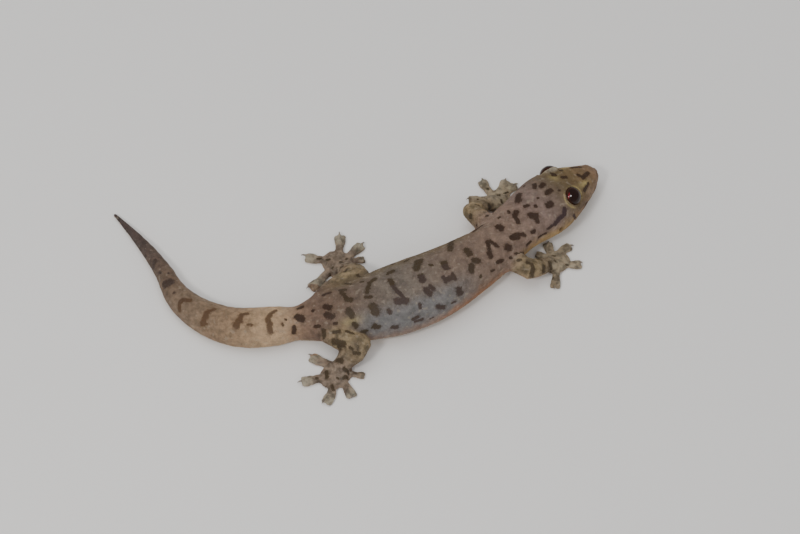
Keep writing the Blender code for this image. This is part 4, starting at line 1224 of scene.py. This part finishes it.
def scale_piece(name, slot, points, outward, sizes, material):
    """One piece of the coat: a low round scale at each point, each of one colour."""
    corners, faces = scale_form()
    behind, _, angle, _, out = body_place(points)
    _, back, _ = spine_frame(behind)
    back = np.column_stack([back, np.zeros(len(back))])
    along = unit(back - outward * (back * outward).sum(axis=1)[:, None] + 1e-6)
    across = np.cross(outward, along)
    long, wide, high = sizes.T[:, :, None, None]
    placed = (points[:, None, :] + along[:, None, :] * corners[None, :, :1] * long
              + across[:, None, :] * corners[None, :, 1:2] * wide
              + outward[:, None, :] * corners[None, :, 2:] * high)
    placed[:, :, 2] = np.maximum(0.0, placed[:, :, 2])
    count = len(corners)
    shifted = faces[None, :, :] + np.arange(len(points))[:, None, None] * count
    mesh = bpy.data.meshes.new(name)
    mesh.from_pydata(placed.reshape(-1, 3), [], shifted.reshape(-1, 3))
    paint(mesh, points, outward, count)
    roots = np.repeat(unwrap(points, outward, behind, angle, fade(out, 1.06, 1.22)), count, axis=0)
    local = np.tile(corners[:, :2] * BAKE_PATCH / 2.0, (len(points), 1))
    add_patches(mesh, roots + local)
    finish(name, mesh, placed.reshape(-1, 3), material, slot)


# Plates of the lips: how many on each side of the upper and the lower lip, the first and last place
# behind the snout, then the half height, the thickness and how square a plate is.
LIP_ROWS = ((1.0, 10, 0.74, 9.1), (-1.0, 8, 0.78, 8.8))
PLATE_TALL = 0.25
PLATE_THICK = 0.045
PLATE_SQUARE = 0.66
FRONT_PLATES = ((1.0, 0.46), (-1.0, 0.50))


def lip_plate(surface, place, ahead, half_long):
    """Rounded plate that lies on the skin at a place, its length along a direction."""
    at, outward, _, _ = surface.find_nearest(Vector(place))
    along = (Vector(ahead) - outward * outward.dot(Vector(ahead))).normalized()
    up = outward.cross(along)
    bm = bmesh.new()
    bmesh.ops.create_uvsphere(bm, u_segments=20, v_segments=10, radius=1.0)
    for vert in bm.verts:
        x, y, z = (math.copysign(abs(value) ** PLATE_SQUARE, value) for value in vert.co)
        vert.co = at + along * x * half_long + up * y * PLATE_TALL + outward * z * PLATE_THICK
    bmesh.ops.recalc_face_normals(bm, faces=bm.faces)
    return bm


def make_lips(skin_plan, material):
    """Rows of plates along both lips, with one wide plate at the front of each."""
    bm = bmesh.new()
    bm.from_mesh(skin_plan)
    surface = BVHTree.FromBMesh(bm)
    bm.free()
    plates = []
    for above, count, first, last in LIP_ROWS:
        step = (last - first) / (count - 1)
        for side in (1, -1):
            for behind in np.linspace(first, last, count):
                height = float(mouth_height(behind)) + above * LIP_HALF
                spot = on_body(behind, side * flank(behind, height), height)[0]
                after = behind + step
                ahead = on_body(after, side * flank(after, height), height)[0] - spot
                plates.append(lip_plate(surface, spot, ahead, step * 0.49))
    for above, half_long in FRONT_PLATES:
        height = MOUTH_FRONT + above * LIP_HALF * 1.1
        spot = on_body(0.0, 0.0, height)[0]
        _, _, left = spine_frame(np.array([0.0]))
        plates.append(lip_plate(surface, spot, (*left[0], 0.0), half_long))
    mesh = joined(plates)
    points, normals = mesh_arrays(mesh)
    paint(mesh, points, normals)
    behind, _, angle, _, out = body_place(points)
    add_patches(mesh, unwrap(points, normals, behind, angle, fade(out, 1.06, 1.22)))
    finish("lip_plates", mesh, points, material, "head_skin")


def add_patches(mesh, places):
    """Store where each vertex lies on the unwrap of the skin as the map named OFBake."""
    corner_of = np.empty(len(mesh.loops), np.int32)
    mesh.loops.foreach_get("vertex_index", corner_of)
    layer = mesh.uv_layers.new(name="OFBake")
    layer.data.foreach_set("uv", places[corner_of].astype(np.float32).ravel())


# Kinds of scale: name and slot, spacing, then length, width and height in parts of the spacing.
HEAD_GRAIN, BACK_GRAIN, BELLY_SCALE, TAIL_SCALE, LIMB_GRAIN, FOOT_GRAIN = range(1, 7)
SCALE_KINDS = {
    HEAD_GRAIN: ("head_granules", "head_skin", 0.150, 0.68, 0.66, 0.26),
    BACK_GRAIN: ("back_granules", "body_skin", 0.160, 0.70, 0.66, 0.26),
    BELLY_SCALE: ("belly_scales", "body_skin", 0.25, 0.82, 0.72, 0.14),
    TAIL_SCALE: ("tail_scales", "tail_skin", 0.18, 0.76, 0.68, 0.22),
    LIMB_GRAIN: ("limb_granules", "limb_skin", 0.165, 0.70, 0.66, 0.24),
    FOOT_GRAIN: ("foot_granules", "foot_skin", 0.150, 0.68, 0.66, 0.24),
}
SCALES_PER_PIECE = 9500
# Size of a scale against its kind's: the seed of the random draws and their range.
SIZE_SEED = 7
SIZE_RANGE = (0.86, 1.12)
BAKE_PATCH = 0.003


def kinds_of_scale(points, normals):
    """Which kind of scale grows at each point of the skin, or 0 where none does."""
    behind, side, angle, _, out = body_place(points)
    turn = np.degrees(np.abs(angle))
    kind = np.full(len(points), BACK_GRAIN)
    kind[behind < 13.0] = HEAD_GRAIN
    kind[behind > 57.5] = TAIL_SCALE
    kind[(turn > 112.0) & (out < 1.2)] = BELLY_SCALE
    way, palm_far = limb_place(points)
    limb = out > 1.2
    kind[limb] = LIMB_GRAIN
    kind[limb & (way > 0.78)] = FOOT_GRAIN
    kind[limb & (normals[:, 2] < -0.4)] = 0
    mouth = np.abs(points[:, 2] - mouth_height(behind)) < LIP_HALF + PLATE_TALL * 0.7
    kind[mouth & (behind < MOUTH_CORNER) & (out > 0.8)] = 0
    for hole in (NOSTRIL, EAR):
        kind[hole_distance(points, behind, side, hole) < 1.0] = 0
    kind[eye_distance(points) < 0.06] = 0
    return kind


def make_scales(skin_plan, material):
    """Granules of the head, back, limbs and tail, and the flat scales of the belly."""
    points, normals = mesh_arrays(skin_plan)
    kinds = kinds_of_scale(points, normals)
    store(skin_plan, "scale_kind", "INT", kinds)
    rng = np.random.default_rng(SIZE_SEED)
    for kind, (name, slot, spacing, long, wide, high) in SCALE_KINDS.items():
        roots, outward = scattered(skin_plan, kind, spacing, kind)
        behind, *_ = body_place(roots)
        order = np.argsort(behind)
        parts = max(1, math.ceil(len(roots) / SCALES_PER_PIECE))
        for number, chosen in enumerate(np.array_split(order, parts), 1):
            vary = rng.uniform(*SIZE_RANGE, (len(chosen), 3))
            sizes = spacing * np.array([long, wide, high]) * vary
            scale_piece(f"{name}_{number}", slot, roots[chosen], outward[chosen], sizes, material)
        print(name, len(roots), "scales in", parts, "pieces")


def make_eyes(material):
    for side, label in ((1, "left"), (-1, "right")):
        look = gaze(side)
        turn = look.to_track_quat("Z", "Y").to_matrix()
        bm = bmesh.new()
        bmesh.ops.create_uvsphere(bm, u_segments=64, v_segments=40, radius=1.0)
        mesh = bpy.data.meshes.new("eyeball_" + label)
        bm.to_mesh(mesh)
        bm.free()
        local, _ = mesh_arrays(mesh)
        store(mesh, "eye_place", "FLOAT_VECTOR", local)
        # How strong the painted red reflection is in this eye.
        store(mesh, "painted_reflex", "FLOAT", np.full(len(local), RED_REFLEX_STRENGTH[side]))
        placed = local * EYE_RADIUS @ np.array(turn).T + np.array(eye_centre(side))
        finish("eyeball_" + label, mesh, placed, material, "eye_cornea", "eye_" + label)


def make_claws(material):
    surfaces = []
    for limb in LIMBS.values():
        palm = np.array(limb["points"][3][:2])
        for digit in limb["digits"]:
            if digit.claw_reach == 0.0:
                continue
            _, _, pad = digit_line(palm, digit)
            points, radii = claw_line(pad, digit, CLAW)
            surfaces.append(swept(points, radii * 0.75, radii, 12, 20))
    mesh = joined(surfaces)
    points, _ = mesh_arrays(mesh)
    finish("claws", mesh, points, material, "foot_skin")


# Camera: the photograph looks down at the animal at this angle, and shows this many pixels to a
# millimetre at the aim point from this distance.
CAMERA_UP = math.radians(56.0)
CAMERA_AWAY = 450.0
PIXELS_PER_MM = 6.4
IMAGE_WIDTH = 800
SENSOR = 36.0


def make_camera():
    back = np.array([0.0, -math.cos(CAMERA_UP), math.sin(CAMERA_UP)])
    camera = bpy.data.cameras.new("camera")
    camera.sensor_width = SENSOR
    camera.lens = PIXELS_PER_MM * CAMERA_AWAY * SENSOR / IMAGE_WIDTH
    camera.clip_start = 0.01
    camera.clip_end = 10.0
    obj = put("camera", camera)
    obj.location = to_frame(back * CAMERA_AWAY)
    obj.rotation_euler = (math.pi / 2.0 - CAMERA_UP, 0.0, 0.0)
    bpy.context.scene.camera = obj


# Lamps: name, place, size, power, colour, and the kind of ray that doesn't see the lamp.
LAMPS = (
    ("key", (-0.25, 0.30, 0.95), 1.30, 6.0, (1.0, 0.97, 0.94), "glossy"),
    ("flash", (-0.18, -0.218, 0.331), 0.09, 0.65, (1.0, 0.98, 0.96), None),
    ("catch_light", (0.008, -0.173, 0.416), 0.12, 1.5, (1.0, 0.95, 0.95), "diffuse"),
    ("fill", (0.45, -0.75, 0.60), 1.10, 4.0, (1.0, 0.98, 0.96), "glossy"),
)
SKY_COLOUR = (0.80, 0.83, 0.88, 1.0)
SKY_POWER = 0.38


def make_lamp(name, place, size, power, colour, unseen_by):
    light = bpy.data.lights.new(name, "AREA")
    light.shape = "DISK"
    light.size = size
    light.energy = power
    light.color = colour
    obj = put(name, light)
    obj.location = place
    obj.rotation_euler = (-Vector(place)).to_track_quat("-Z", "Y").to_euler()
    obj.visible_glossy = unseen_by != "glossy"
    obj.visible_diffuse = unseen_by != "diffuse"


def make_stage():
    """Pale floor, lamps and an even sky."""
    bm = bmesh.new()
    bmesh.ops.create_grid(bm, x_segments=1, y_segments=1, size=2.0)
    mesh = bpy.data.meshes.new("floor")
    bm.to_mesh(mesh)
    bm.free()
    mesh.materials.append(floor_material())
    put("floor", mesh)
    for lamp in LAMPS:
        make_lamp(*lamp)
    world = bpy.data.worlds.new("studio")
    world.use_nodes = True
    sky = world.node_tree.nodes["Background"]
    sky.inputs["Color"].default_value = SKY_COLOUR
    sky.inputs["Strength"].default_value = SKY_POWER
    bpy.context.scene.world = world


make_camera()
make_stage()
make_skin(skin_material())
make_eyes(eye_material())
make_claws(claw_material())
